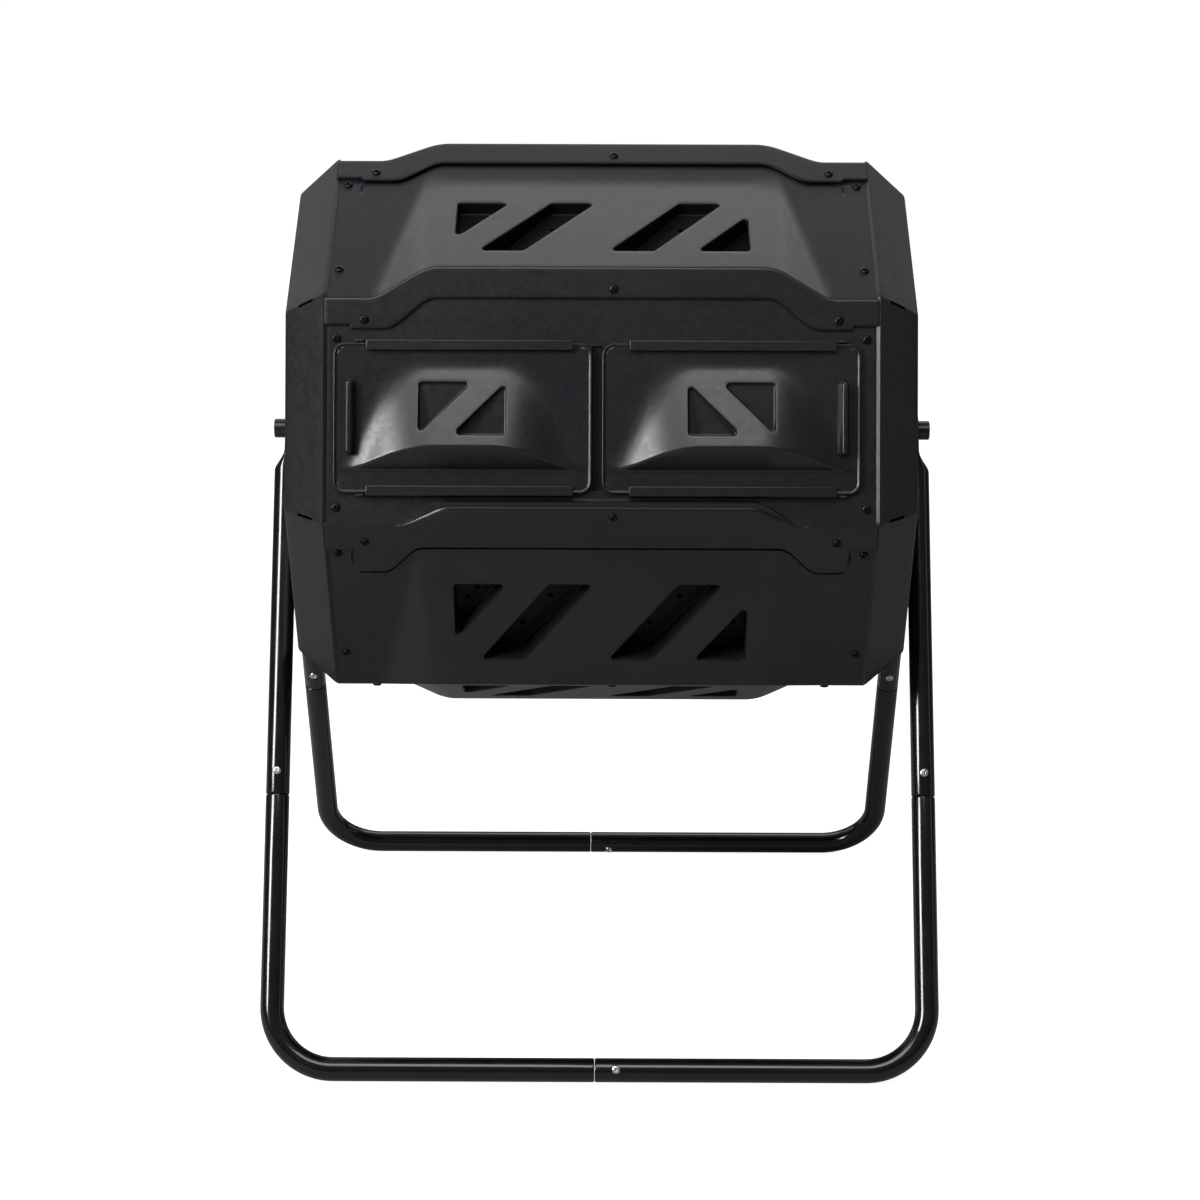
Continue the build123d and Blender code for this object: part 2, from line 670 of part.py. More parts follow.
inner_apothem = APOTHEM - WALL
divider_body = frustum(-DIVIDER_RIM, inner_apothem, DIVIDER_RIM, inner_apothem)
divider_side = frustum(WALL / 2, inner_apothem - WALL, 2 * DIVIDER_RIM, inner_apothem - WALL)
with BuildPart() as centre_divider:
    add(divider_body)
    add(divider_side, mode=Mode.SUBTRACT)
    add(divider_side.mirror(Plane.YZ), mode=Mode.SUBTRACT)
    # an ear at each seam carries the seam's middle screw
    for place in range(SIDES):
        screw_height = (LIP_ROWS if place == SIDES - 1 else WEDGE_ROWS)[1]
        ear = panel_plane(place, -WALL)
        with BuildSketch(ear):
            with Locations((-WALL / 2, screw_height - EAR_BELOW)):
                Rectangle(EAR_WIDTH, EAR_BELOW + EAR_ABOVE, align=(Align.MIN, Align.MIN))
        extrude(amount=-WALL)
        with BuildSketch(ear):
            with Locations((-WALL / 2, screw_height - EAR_BELOW)):
                Rectangle(WALL, EAR_BELOW - EAR_ABOVE, align=(Align.MIN, Align.MIN))
        extrude(amount=-EAR_WEB)
        with Locations(ear):
            through_holes([(MIDDLE_SCREW_X, screw_height)])
    add(ring(-DIVIDER_HUB_LENGTH / 2, DIVIDER_HUB_RADIUS, 0, DIVIDER_HUB_LENGTH))
    divider_bore = AXLE_RADIUS + HUB_GAP
    add(ring(-DIVIDER_HUB_LENGTH, divider_bore, 0, 2 * DIVIDER_HUB_LENGTH), mode=Mode.SUBTRACT)
save(centre_divider, "centre_divider")


# ---- screws and nuts of the barrel ----
def screw(length):
    """A pan-head screw standing on the XY plane, its shank going down."""
    with BuildPart() as piece:
        Cylinder(SCREW_RADIUS, length, align=(Align.CENTER, Align.CENTER, Align.MAX))
        Cylinder(SCREW_HEAD_RADIUS, SCREW_HEAD_HEIGHT, align=(Align.CENTER, Align.CENTER, Align.MIN))
        fillet(piece.edges().group_by(Axis.Z)[-1], SCREW_HEAD_ROUND)
    return piece.part


with BuildPart() as hex_nut:
    with BuildSketch():
        RegularPolygon(NUT_RADIUS, 6)
        Circle(SCREW_RADIUS + RUNNING_GAP, mode=Mode.SUBTRACT)
    extrude(amount=-NUT_HEIGHT)


def at(plane, x, y):
    """The same plane with its origin moved to a point on it."""
    return Plane(origin=plane.from_local_coords((x, y, 0)), x_dir=plane.x_dir, z_dir=plane.z_dir)


def seam_planes(place, height, middle_height):
    """Planes at the three screws of the seam on the upper edge of side `place`."""
    rows = (UNDER_LIP if place == SIDES - 1 else UNDER_WEDGE)[3]
    ends, middle = seam_row(*rows)[:2], seam_row(*rows)[2]
    return [at(panel_plane(place, height), *spot) for spot in ends] + [
        at(panel_plane(place, middle_height), *middle)
    ]


def end_planes(side, height):
    """Planes at the end screws of all panels, at one end of the barrel."""
    return [
        at(panel_plane(place, height), x, y)
        for place in range(SIDES)
        for x, y in end_row(DOOR_END_SCREW_BOTTOM if place == 0 else -END_SCREW_RISE)
        if x * side > 0
    ]


with BuildPart() as seam_screws:
    with Locations(*[p for place in range(SIDES) for p in seam_planes(place, WALL, WALL)]):
        add(screw(3 * WALL + NUT_HEIGHT))
save(seam_screws, "seam_screws")

with BuildPart() as seam_nuts:
    with Locations(*[p for place in range(SIDES) for p in seam_planes(place, -WALL, -2 * WALL)]):
        add(hex_nut.part)
save(seam_nuts, "seam_nuts")

for side, name in ((-1, "left"), (1, "right")):
    with BuildPart() as end_screws:
        with Locations(*end_planes(side, 0)):
            add(screw(2 * WALL + NUT_HEIGHT))
    save(end_screws, f"end_screws_{name}")
    with BuildPart() as end_nuts:
        with Locations(*end_planes(side, -2 * WALL)):
            add(hex_nut.part)
    save(end_nuts, f"end_nuts_{name}")

# ---- axle ----
with BuildPart() as axle_tube:
    add(ring(-AXLE_HALF, AXLE_RADIUS, AXLE_RADIUS - AXLE_WALL, 2 * AXLE_HALF))
save(axle_tube, "axle_tube")

plug_start = FRONT_LEG_X + PLATE_THICKNESS / 2 + RUNNING_GAP
spacer_start = bush_face + BUSH_FLANGE + SPACER_GAP
spacer_end = REAR_LEG_X - PLATE_THICKNESS / 2
spacer_radius = AXLE_RADIUS + SPACER_WALL
spacer_bore = AXLE_RADIUS + RUNNING_GAP
washer_start = REAR_LEG_X + PLATE_THICKNESS / 2
washer_end = FRONT_LEG_X - PLATE_THICKNESS / 2
for side, name in ((-1, "left"), (1, "right")):
    with BuildPart() as axle_cap:
        add(ring(plug_start, END_PLUG_RADIUS, AXLE_RADIUS, AXLE_HALF - plug_start))
        add(ring(AXLE_HALF, END_PLUG_RADIUS, 0, AXLE_END_HALF - AXLE_HALF))
        rim = axle_cap.edges().filter_by(GeomType.CIRCLE).sort_by(Axis.X)[-1]
        chamfer(rim, END_PLUG_CHAMFER)
        if side < 0:
            mirror(about=Plane.YZ, mode=Mode.REPLACE)
    save(axle_cap, f"axle_cap_{name}")
    with BuildPart() as spacer:
        add(ring(spacer_start, spacer_radius, spacer_bore, spacer_end - spacer_start))
        if side < 0:
            mirror(about=Plane.YZ, mode=Mode.REPLACE)
    save(spacer, f"axle_spacer_{name}")
    with BuildPart() as washer:
        add(ring(washer_start, spacer_radius, spacer_bore, washer_end - washer_start))
        if side < 0:
            mirror(about=Plane.YZ, mode=Mode.REPLACE)
    save(washer, f"axle_washer_{name}")


# ---- stand ----
def leg_frame(way):
    """Plane of a U-frame, way -1 front and 1 rear: x across, y down the legs from the axle."""
    return Plane(
        origin=(0, 0, PIVOT_HEIGHT),
        x_dir=(1, 0, 0),
        z_dir=(0, cos(LEG_ANGLE), way * sin(LEG_ANGLE)),
    )


def across_leg(way, x, down):
    """Plane across a leg tube, `down` from the axle, its normal pointing down the leg."""
    frame = leg_frame(way)
    return Plane(origin=frame.from_local_coords((x, down, 0)), x_dir=(1, 0, 0), z_dir=frame.y_dir)


def across_leg_screw(way, x, down, height):
    """Plane over the tube's forward side at a screw of the U-frame, facing the front."""
    frame = leg_frame(way)
    spot = frame.from_local_coords((x, down, -height))
    return Plane(origin=spot, x_dir=(1, 0, 0), z_dir=-frame.z_dir)


SPIGOT_RADIUS = TUBE_RADIUS - TUBE_WALL - RUNNING_GAP
TUBE_BORE = TUBE_RADIUS - TUBE_WALL


def joint_hole(way, x, down):
    """Clearance hole for a joint screw, through the tube's forward wall."""
    downwards = (Align.CENTER, Align.CENTER, Align.MAX)
    with Locations(across_leg_screw(way, x, down, TUBE_RADIUS + WALL)):
        Cylinder(SCREW_HOLE_RADIUS, TUBE_RADIUS, align=downwards, mode=Mode.SUBTRACT)


U_FRAMES = {
    "front": (-1, FRONT_LEG_X, FRONT_BAR_JOINT_X),
    "rear": (1, REAR_LEG_X, REAR_BAR_JOINT_X),
}
for end, (way, leg_x, bar_joint) in U_FRAMES.items():
    for side, name in ((-1, "left"), (1, "right")):
        x = side * leg_x
        with BuildPart() as upper_leg:
            # flattened end with the axle's hole
            with BuildSketch(axis_plane(x - PLATE_THICKNESS / 2)):
                Circle(PLATE_HALF_WIDTH)
                half = FLAT_END / 2
                with Locations((way * sin(LEG_ANGLE) * half, -cos(LEG_ANGLE) * half)):
                    Rectangle(FLAT_END, 2 * PLATE_HALF_WIDTH, rotation=way * degrees(LEG_ANGLE) - 90)
            extrude(amount=PLATE_THICKNESS)
            with BuildSketch(across_leg(way, x, FLAT_END - 1)):
                Ellipse(PLATE_THICKNESS / 2, PLATE_HALF_WIDTH)
            with BuildSketch(across_leg(way, x, ROUND_START)):
                Circle(TUBE_RADIUS)
            loft()
            with BuildSketch(across_leg(way, x, ROUND_START)):
                Circle(TUBE_RADIUS)
            extrude(amount=LEG_JOINT - ROUND_START)
            with BuildSketch(across_leg(way, x, ROUND_START + TUBE_WALL)):
                Circle(TUBE_BORE)
            extrude(amount=LEG_JOINT, mode=Mode.SUBTRACT)
            axle_hole = ring(x - TUBE_RADIUS, AXLE_RADIUS + RUNNING_GAP, 0, 2 * TUBE_RADIUS)
            add(axle_hole, mode=Mode.SUBTRACT)
            joint_hole(way, x, LEG_SCREW)
        save(upper_leg, f"upper_leg_{end}_{name}")

        with BuildPart() as lower_leg:
            with BuildLine(leg_frame(way)) as route:
                corners = ((x, LEG_JOINT), (x, LEG_LENGTH), (bar_joint, LEG_LENGTH))
                FilletPolyline(*corners, radius=FOOT_BEND)
            with BuildSketch(across_leg(way, x, LEG_JOINT)):
                Circle(TUBE_RADIUS)
                Circle(TUBE_BORE, mode=Mode.SUBTRACT)
            sweep()
            # reduced spigot into the upper leg
            with BuildSketch(across_leg(way, x, LEG_JOINT - SPIGOT_LENGTH)):
                Circle(SPIGOT_RADIUS)
                Circle(SPIGOT_RADIUS - TUBE_WALL, mode=Mode.SUBTRACT)
            extrude(amount=SPIGOT_LENGTH + 2 * TUBE_WALL)
            with BuildSketch(across_leg(way, x, LEG_JOINT)):
                Circle(TUBE_BORE)
                Circle(SPIGOT_RADIUS - TUBE_WALL, mode=Mode.SUBTRACT)
            extrude(amount=2 * TUBE_WALL)
            joint_hole(way, x, LEG_SCREW)
            if side < 0:
                # the left bar's reduced end runs into the right bar
                bar = Plane(
                    origin=leg_frame(way).from_local_coords((bar_joint - 2 * TUBE_WALL, LEG_LENGTH, 0)),
                    x_dir=(0, 1, 0),
                    z_dir=(1, 0, 0),
                )
                with BuildSketch(bar):
                    Circle(SPIGOT_RADIUS)
                    Circle(SPIGOT_RADIUS - TUBE_WALL, mode=Mode.SUBTRACT)
                extrude(amount=SPIGOT_LENGTH + 2 * TUBE_WALL)
                with BuildSketch(bar):
                    Circle(TUBE_BORE)
                    Circle(SPIGOT_RADIUS - TUBE_WALL, mode=Mode.SUBTRACT)
                extrude(amount=2 * TUBE_WALL)
            joint_hole(way, bar_joint + BAR_SCREW_OFFSET, LEG_LENGTH)
        save(lower_leg, f"lower_leg_{end}_{name}")

    spots = [(-leg_x, LEG_SCREW), (leg_x, LEG_SCREW), (bar_joint + BAR_SCREW_OFFSET, LEG_LENGTH)]
    with BuildPart() as joint_screws:
        with Locations(*[across_leg_screw(way, *spot, TUBE_RADIUS) for spot in spots]):
            add(screw(3 * WALL))
    save(joint_screws, f"stand_screws_{end}")
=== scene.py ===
"""A dual-chamber compost tumbler: soft moulded panels, sliding doors and powder-coated legs.

Sizes are in millimetres until a piece is placed; the frame is in metres. In a side's own
coordinates x runs along the barrel, v up the side and n outwards from its face.
"""

import json
from math import atan2, ceil, cos, hypot, pi, radians, sin, sqrt, tan

import bpy
from mathutils import Matrix, Vector
from mathutils.geometry import delaunay_2d_cdt


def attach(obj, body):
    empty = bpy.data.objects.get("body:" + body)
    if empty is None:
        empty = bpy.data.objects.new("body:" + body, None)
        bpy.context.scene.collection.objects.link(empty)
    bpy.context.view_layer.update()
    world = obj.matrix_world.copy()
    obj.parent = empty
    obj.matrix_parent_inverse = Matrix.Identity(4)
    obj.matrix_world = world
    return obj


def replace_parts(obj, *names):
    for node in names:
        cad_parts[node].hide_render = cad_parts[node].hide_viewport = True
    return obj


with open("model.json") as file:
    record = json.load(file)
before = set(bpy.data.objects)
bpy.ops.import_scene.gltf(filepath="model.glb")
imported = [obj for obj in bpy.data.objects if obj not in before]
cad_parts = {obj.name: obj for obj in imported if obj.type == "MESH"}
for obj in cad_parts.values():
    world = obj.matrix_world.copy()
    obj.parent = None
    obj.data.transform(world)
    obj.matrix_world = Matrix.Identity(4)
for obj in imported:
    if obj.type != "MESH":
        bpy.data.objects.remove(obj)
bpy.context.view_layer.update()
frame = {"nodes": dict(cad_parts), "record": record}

MM = 0.001
JOINTS = {joint["name"]: joint for joint in frame["record"]["behaviour"]["joints"]}
PIVOT_HEIGHT = JOINTS["barrel_spin"]["pos_m"][2] / MM
ALONG = Vector((1, 0, 0))
HANDS = ((-1, "left"), (1, "right"))

# ---- sizes of the barrel ----
DOOR_TILT = 17.4
SIDES = 8
STEP = 360 / SIDES
BEND = radians(STEP)
BEND_COS, BEND_SIN = cos(BEND), sin(BEND)
APOTHEM = 274.0
HALF_SIDE = APOTHEM * tan(BEND / 2)
HALF_LENGTH = 277.0
SKIN = 2.6  # thickness of the moulded skins
PANEL_EDGE = 0.15  # rounding of the panels' rims
FLANGE_LIFT = 3.0  # a flange's outer face stands this far off the side it covers
CORNER_DROP = FLANGE_LIFT / BEND_SIN  # where the flat face meets the flange, below the corner
VENTED = (  # the sides above the doors, going round
    "panel_upper_front",
    "panel_top",
    "panel_upper_rear",
    "panel_rear",
    "panel_lower_rear",
    "panel_bottom",
    "panel_lower_front",
)

WEDGE_RISE = 22.0
WEDGE_START = 76.0
WEDGE_TOP_HALF = 185.0
WEDGE_RIDGE_HALF = 174.0
WEDGE_BASE_HALF = 226.0
FLANGE_WIDTH = 37.0
NARROW_FLANGE = 33.0
FLANGE_STEP = (218.0, 166.0)
FLANGE_ROWS = 9
NOTCH_X = 251.0
NOTCH_LENGTH = 17.0
NOTCH_GROOVE = 1.2  # half the groove's width
TUCK = 5.0
BEND_RADIUS = 4.0
BEND_STEPS = 6
COLUMN_PITCH = 4.0
REBATE_DEPTH = 2.0
REBATE_ROWS = (2.9, 2.1, -3.0)  # distances below the covering flange's edge
REBATE_TAIL = -8.0
REBATE_END = (247.0, 244.0)
APRON_ROWS = (5.0, 4.3, -3.0)

VENT_TOP = 33.0
VENT_BOTTOM = -62.0
VENT_LEAN = 0.75
VENT_CENTRE_X = 66.0
VENT_HALF_WIDTH = 22.0
VENT_OUTER_X = 149.0
VENT_TRIANGLE = 52.0
VENT_CORNER = 3.2
POCKET_FLOOR = -8.0
AIR_HOLE = 3.0
SLANT_HOLES, TRIANGLE_HOLES = 20, 7  # from a vent's middle up to its air hole
# rounded edge, draft, rounded foot, last ring's inset, spacing along rings and on the floor
SIZES = ("edge", "draft", "foot", "inset", "pitch", "mesh", "margin")
VENT_WELL = dict(zip(SIZES, (1.3, 0.6, 1.5, 3.0, 6.0, 5.0, 1.5)))
RECESS_WELL = dict(zip(SIZES, (1.1, 0.5, 1.2, 2.7, 4.0, 4.0, 1.2)))

LIP_RISE = 17.0
LIP_RIDGE = LIP_RISE + 3.1  # the lip's corner before it is rounded
LIP_START = -90.5
LIP_PLATEAU = 150.0
LIP_END = 209.0
APRON_WIDTH = 64.5
APRON_MIDDLE = 31.0
APRON_HALF = 248.0
APRON_STEP = (220.0, 180.0)
APRON_CORNER = 7.0
GROOVE_V = 105.0
GROOVE_WIDTH = 0.7
GROOVE_DEPTH = 0.7
MOUTH_INNER_X = 27.0
MOUTH_OUTER_X = 240.0
MOUTH_TOP = 50.0
MOUTH_BOTTOM = -69.0
MOUTH_CORNER = 12.0
RAIL_INNER_X = 28.0
RAIL_OUTER_X = 235.0
CHANNEL_X = (-9.6, 1.1)  # sides of the shallow channel between the two doors
CHANNEL_TOP = 64.0
CHANNEL_DEPTH = 2.2

DOOR_WIDTH = 258.5
DOOR_TOP = 66.2
DOOR_BOTTOM = -84.0
DOOR_CORNER = 12.0
DOOR_BASE = 3.1  # height of a door's front face above the side's face
DOOR_SKIN = 2.4
LEFT_DOOR_X = -138.5
RIGHT_DOOR_X = 130.0
BULGE_RISE = 22.0
BULGE_TOP = 42.0
BULGE_BOTTOM = -61.0
BULGE_TOP_HALF = 65.0
BULGE_RIDGE_HALF = 53.0
BULGE_BASE_HALF = 112.0
RECESS_HALF_WIDTH = 43.5
RECESS_HALF_HEIGHT = 26.5
RECESS_RUN = 53.0
RIM_WIDTH = 2.4
RIM_HEIGHT = 1.8
GRIP_X = 111.2
GRIP_TOP = 30.0
GRIP_BOTTOM = -47.0

CAP_DEPTH = 40.5
CAP_FACE_X = HALF_LENGTH + CAP_DEPTH
CAP_FACE_APOTHEM = 240.0
CAP_CORNER = 5
CAP_CORNER_TURNS = 6
CAP_SIDE_STEPS = 14
CAP_EDGE = 4.0
SLOT_DEPTH = 18
HUB_RADIUS = 32.0
HUB_HEIGHT = 6.5
BUSH_RADIUS = 15.0

# ---- sizes of the screws and the stand ----
HEAD_RADIUS = 4.5
HEAD_HEIGHT = 2.6
HEAD_CROSS = 1.3
HEAD_TURNS = 40
SEAM_SCREW_X = 237.0
MIDDLE_SCREW_X = 12.0
END_SCREW_X = 265.3
END_SCREW_RISE = 71.0
DOOR_END_SCREW_BOTTOM = -98.5
TUBE_RADIUS = 12.5
TUBE_ROUND = 1.6
TUBE_TURNS = 48
FOOT_SPREAD = 327.0
PLATE_THICKNESS = 3.0
PLATE_HALF = 17.0
FLAT_END = 26.0
ROUND_START = 48.0
LEG_JOINT = 403.0
JOINT_GAP = 0.2
LEG_SCREW = 378.5
FOOT_BEND = 65.0
BAR_SCREW_OFFSET = 22.5
LEG_DROP = PIVOT_HEIGHT - TUBE_RADIUS
LEG_LENGTH = hypot(FOOT_SPREAD, LEG_DROP)
LEG_ANGLE = atan2(FOOT_SPREAD, LEG_DROP)

# ---- the stage ----
FLOOR = 30.0
AIM = (0, 0, 0.6)
PITCH, YAW, ROLL = -16.656, 0.152, 0.17


# ---- small maths ----
def mix(a, b, t):
    return a + (b - a) * t


def clamp(t):
    return max(0.0, min(1.0, t))


def smooth(start, end, x):
    """0 at start, 1 at end, with an S-curve between; start may lie above end."""
    t = clamp((x - start) / (end - start))
    return t * t * (3 - 2 * t)


def soft_min(a, b, k):
    """The lower of two heights, blended where they are within k of each other."""
    h = max(k - abs(a - b), 0) / k
    return min(a, b) - h * h * k / 4


def soft_max(a, b, k):
    return -soft_min(-a, -b, k)


def plane_height(a, b, c):
    """Height of the plane through three points, as a function of x and v."""
    a, b, c = Vector(a), Vector(b), Vector(c)
    normal = (b - a).cross(c - a)
    return lambda x, v: a.z - (normal.x * (x - a.x) + normal.y * (v - a.y)) / normal.z


def pairs(loop):
    """Each item of a closed loop with the next one."""
    return zip(loop, [*loop[1:], loop[0]])


def rectangle(x0, x1, y0, y1):
    return [(x0, y0), (x1, y0), (x1, y1), (x0, y1)]


# ---- places ----
def outward(place):
    """Direction from the axle to the middle of a side, or to its upper corner at half more."""
    angle = radians(DOOR_TILT + STEP * place)
    return Vector((0, -cos(angle), sin(angle)))


def side_matrix(place, height=0.0, shift=0.0):
    """Row-frame matrix of barrel side `place`, counted upwards from the doors."""
    out = outward(place)
    up = out.cross(ALONG)
    origin = Vector((shift, 0, PIVOT_HEIGHT)) + out * (APOTHEM + height)
    turn = Matrix((ALONG, up, out)).transposed().to_4x4()
    return Matrix.Translation(origin) @ turn


def flange_point(x, v, n):
    """A point given on the next side down, in this side's coordinates."""
    c, s = BEND_COS, BEND_SIN
    return (x, -HALF_SIDE * (1 + c) + v * c - n * s, -HALF_SIDE * s + v * s + n * c)


def flange_height(spot):
    """The v on the next side down of a point given as this side's (v, n)."""
    v, n = spot
    return (v + HALF_SIDE * (1 + BEND_COS)) * BEND_COS + (n + HALF_SIDE * BEND_SIN) * BEND_SIN


# ---- meshes ----
class Shape:
    """Points and faces of one piece, in millimetres."""

    def __init__(self):
        self.points, self.faces = [], []
        # faces listed here take the near-black painted shade of the second material
        self.dark = set()  # indices of the faces in the second material

    def row(self, points):
        """Adds points and returns their indices."""
        first = len(self.points)
        self.points += [tuple(p) for p in points]
        return list(range(first, len(self.points)))

    def patch(self, index, faces):
        """Adds faces whose corners are looked up in an index."""
        self.faces += [tuple(index[i] for i in face) for face in faces]

    def rings(self, rows, closed=True, flip=False):
        """Quads between each row of points and the next."""
        for a, b in zip(rows, rows[1:]):
            if flip:
                a, b = b, a
            for i in range(len(a) if closed else len(a) - 1):
                j = (i + 1) % len(a)
                self.faces.append((a[i], a[j], b[j], b[i]))

    def cap(self, ring, flip=False):
        self.faces.append(tuple(reversed(ring)) if flip else tuple(ring))

    def prism(self, start, end, flip=False):
        """A closed solid between two loops of points."""
        rows = [self.row(start), self.row(end)]
        self.rings(rows, flip=flip)
        self.cap(rows[0], not flip)
        self.cap(rows[1], flip)

    def shade(self, test):
        """Gives the second material, a near-black painted shade, to the faces whose middle passes
        a test.
        """
        for k, face in enumerate(self.faces):
            middle = [sum(self.points[i][axis] for i in face) / len(face) for axis in range(3)]
            if test(*middle):
                self.dark.add(k)

    def add(self, other, matrix):
        """Adds another shape, moved by a matrix."""
        points = self.row(matrix @ Vector(p) for p in other.points)
        self.patch(points, other.faces)

    def mirrored(self):
        """The same piece mirrored in x."""
        other = Shape()
        other.points = [(-x, v, n) for x, v, n in self.points]
        other.faces = [tuple(reversed(face)) for face in self.faces]
        other.dark = self.dark
        return other


def added(name, data):
    """A new object in the scene."""
    piece = bpy.data.objects.new(name, data)
    bpy.context.scene.collection.objects.link(piece)
    return piece


def build(name, shape, matrix, body, material, sharp=35.0, second=None):
    """Makes the object of a shape, in the row frame, riding on a body."""
    mesh = bpy.data.meshes.new(name)
    to_frame = Matrix.Scale(MM, 4) @ matrix
    mesh.from_pydata([to_frame @ Vector(p) for p in shape.points], [], shape.faces)
    for finish in (material, second) if second else (material,):
        mesh.materials.append(finish)
    # faces of painted shade take the second material
    for i in shape.dark:
        mesh.polygons[i].material_index = 1
    mesh.validate()
    mesh.shade_smooth()
    mesh.set_sharp_from_angle(angle=radians(sharp))
    piece = added(name, mesh)
    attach(piece, body)
    return piece


def thicken(piece, thickness=SKIN, edge=0.0):
    """Gives a skin its thickness on the inside, and rounds its rims by an edge."""
    solid = piece.modifiers.new("skin", "SOLIDIFY")
    solid.thickness = thickness * MM
    solid.offset = -1
    if edge:
        soften(piece, edge)
    return piece


def soften(piece, width, segments=2):
    bevel = piece.modifiers.new("edge", "BEVEL")
    bevel.width = width * MM
    bevel.segments = segments
    bevel.limit_method = "ANGLE"
    bevel.angle_limit = radians(50)


def inside(loop, x, y):
    """Whether a point lies inside a closed loop."""
    hit = False
    for (x0, y0), (x1, y1) in pairs(loop):
        if (y0 > y) != (y1 > y) and x < x0 + (y - y0) * (x1 - x0) / (y1 - y0):
            hit = not hit
    return hit


def gap_to(loop, x, y):
    """Distance from a point to a closed loop."""
    best = 1e9
    for (x0, y0), (x1, y1) in pairs(loop):
        dx, dy = x1 - x0, y1 - y0
        t = clamp(((x - x0) * dx + (y - y0) * dy) / max(dx * dx + dy * dy, 1e-9))
        best = min(best, hypot(x - x0 - t * dx, y - y0 - t * dy))
    return best


def triangulate(border, holes, lattice, margin, lines=()):
    """Triangles that fill a border around holes, with edges along some open lines.

    Returns the flat points, the triangles, the border's indices and those of each hole.
    """
    points = list(border)
    loops = [list(range(len(border)))]
    for hole in holes:
        loops.append(list(range(len(points), len(points) + len(hole))))
        points += hole
    edges = [pair for loop in loops for pair in pairs(loop)]
    for line in lines:
        edges += [(len(points) + i, len(points) + i + 1) for i in range(len(line) - 1)]
        points += line
    for x, y in lattice:
        if any(inside(hole, x, y) or gap_to(hole, x, y) < margin for hole in holes):
            continue
        if inside(border, x, y) and gap_to(border, x, y) > margin:
            points.append((x, y))
    out, _, faces, origins, _, _ = delaunay_2d_cdt(
        [Vector(p) for p in points], edges, [], 0, 1e-5
    )
    where = {source: i for i, sources in enumerate(origins) for source in sources}
    loops = [[where[i] for i in loop] for loop in loops]
    walls = {frozenset(pair) for loop in loops for pair in pairs(loop)}
    return out, bounded(out, faces, walls, border, holes), loops


def bounded(points, faces, walls, border, holes):
    """The faces that are reached from the largest one inside without crossing a wall."""
    sides = {}
    best, seed = 0.0, None
    for k, face in enumerate(faces):
        for pair in pairs(face):
            sides.setdefault(frozenset(pair), []).append(k)
        a, b, c = (points[i] for i in face[:3])
        area = abs((b - a).cross(c - a))
        x, y = (a.x + b.x + c.x) / 3, (a.y + b.y + c.y) / 3
        if area > best and inside(border, x, y) and not any(inside(h, x, y) for h in holes):
            best, seed = area, k
    reached, stack = {seed}, [seed]
    while stack:
        for pair in map(frozenset, pairs(faces[stack.pop()])):
            if pair not in walls:
                fresh = [k for k in sides[pair] if k not in reached]
                reached.update(fresh)
                stack += fresh
    return [tuple(faces[k]) for k in sorted(reached)]


def rounded_loop(corners, radius, grow=0.0, turns=5, pitch=6.0):
    """A closed outline with round corners, anticlockwise; rings that differ in grow match."""
    if sum(a[0] * b[1] - b[0] * a[1] for a, b in pairs(corners)) < 0:
        corners = list(reversed(corners))
    arcs = []
    for i, corner in enumerate(corners):
        p = Vector(corner)
        a = (p - Vector(corners[i - 1])).normalized()
        b = (Vector(corners[(i + 1) % len(corners)]) - p).normalized()
        half = a.angle(b) / 2
        centre = p + (b - a).normalized() * radius / cos(half)
        arcs.append((centre, atan2(-a.x, a.y), 2 * half))
    loop = []
    for (centre, start, turn), (after, after_start, _) in pairs(arcs):
        for j in range(turns + 1):
            angle = start + turn * j / turns
            spot = centre + Vector((cos(angle), sin(angle))) * (radius + grow)
            loop.append((spot.x, spot.y))
        nxt = after + Vector((cos(after_start), sin(after_start))) * (radius + grow)
        count = max(1, ceil((after - centre).length / pitch))
        for j in range(1, count):
            loop.append((mix(spot.x, nxt.x, j / count), mix(spot.y, nxt.y, j / count)))
    return loop


def grid(x0, x1, y0, y1, pitch):
    """Points of a square grid, without those on its border."""
    columns, rows = ceil((x1 - x0) / pitch), ceil((y1 - y0) / pitch)
    return [
        (mix(x0, x1, i / columns), mix(y0, y1, j / rows))
        for i in range(1, columns)
        for j in range(1, rows)
    ]


def beside(start, end, side, pitch):
    """Points along a straight line, all moved sideways by the same distance."""
    run = Vector(end) - Vector(start)
    across = Vector((-run.y, run.x)).normalized() * side
    count = max(1, round(run.length / pitch))
    spots = [Vector(start) + run * i / count + across for i in range(count + 1)]
    return [(spot.x, spot.y) for spot in spots]


def thinned(points, gap):
    """The points without those that come within a gap of an earlier one."""
    cells, kept = {}, []
    around = [(i, j) for i in (-1, 0, 1) for j in (-1, 0, 1)]
    for x, y in points:
        column, row = int(x // gap), int(y // gap)
        near = [p for i, j in around for p in cells.get((column + i, row + j), [])]
        if all(hypot(x - a, y - b) >= gap for a, b in near):
            cells.setdefault((column, row), []).append((x, y))
            kept.append((x, y))
    return kept


def bent(corner, before, after, radius, count):
    """Points of the arc that rounds a corner between two directions, all as (v, n)."""
    corner, d0, d1 = Vector(corner), Vector(before).normalized(), Vector(after).normalized()
    turn = d0.angle(d1)
    if turn < 1e-4 or radius < 1e-4:
        return [tuple(corner)] * (count + 1)
    reach = radius * tan(turn / 2)
    start = corner - d0 * reach
    normal = (d1 - d0 * d1.dot(d0)).normalized()
    angles = [turn * i / count for i in range(count + 1)]
    return [
        tuple(start + d0 * (radius * sin(a)) + normal * (radius * (1 - cos(a)))) for a in angles
    ]


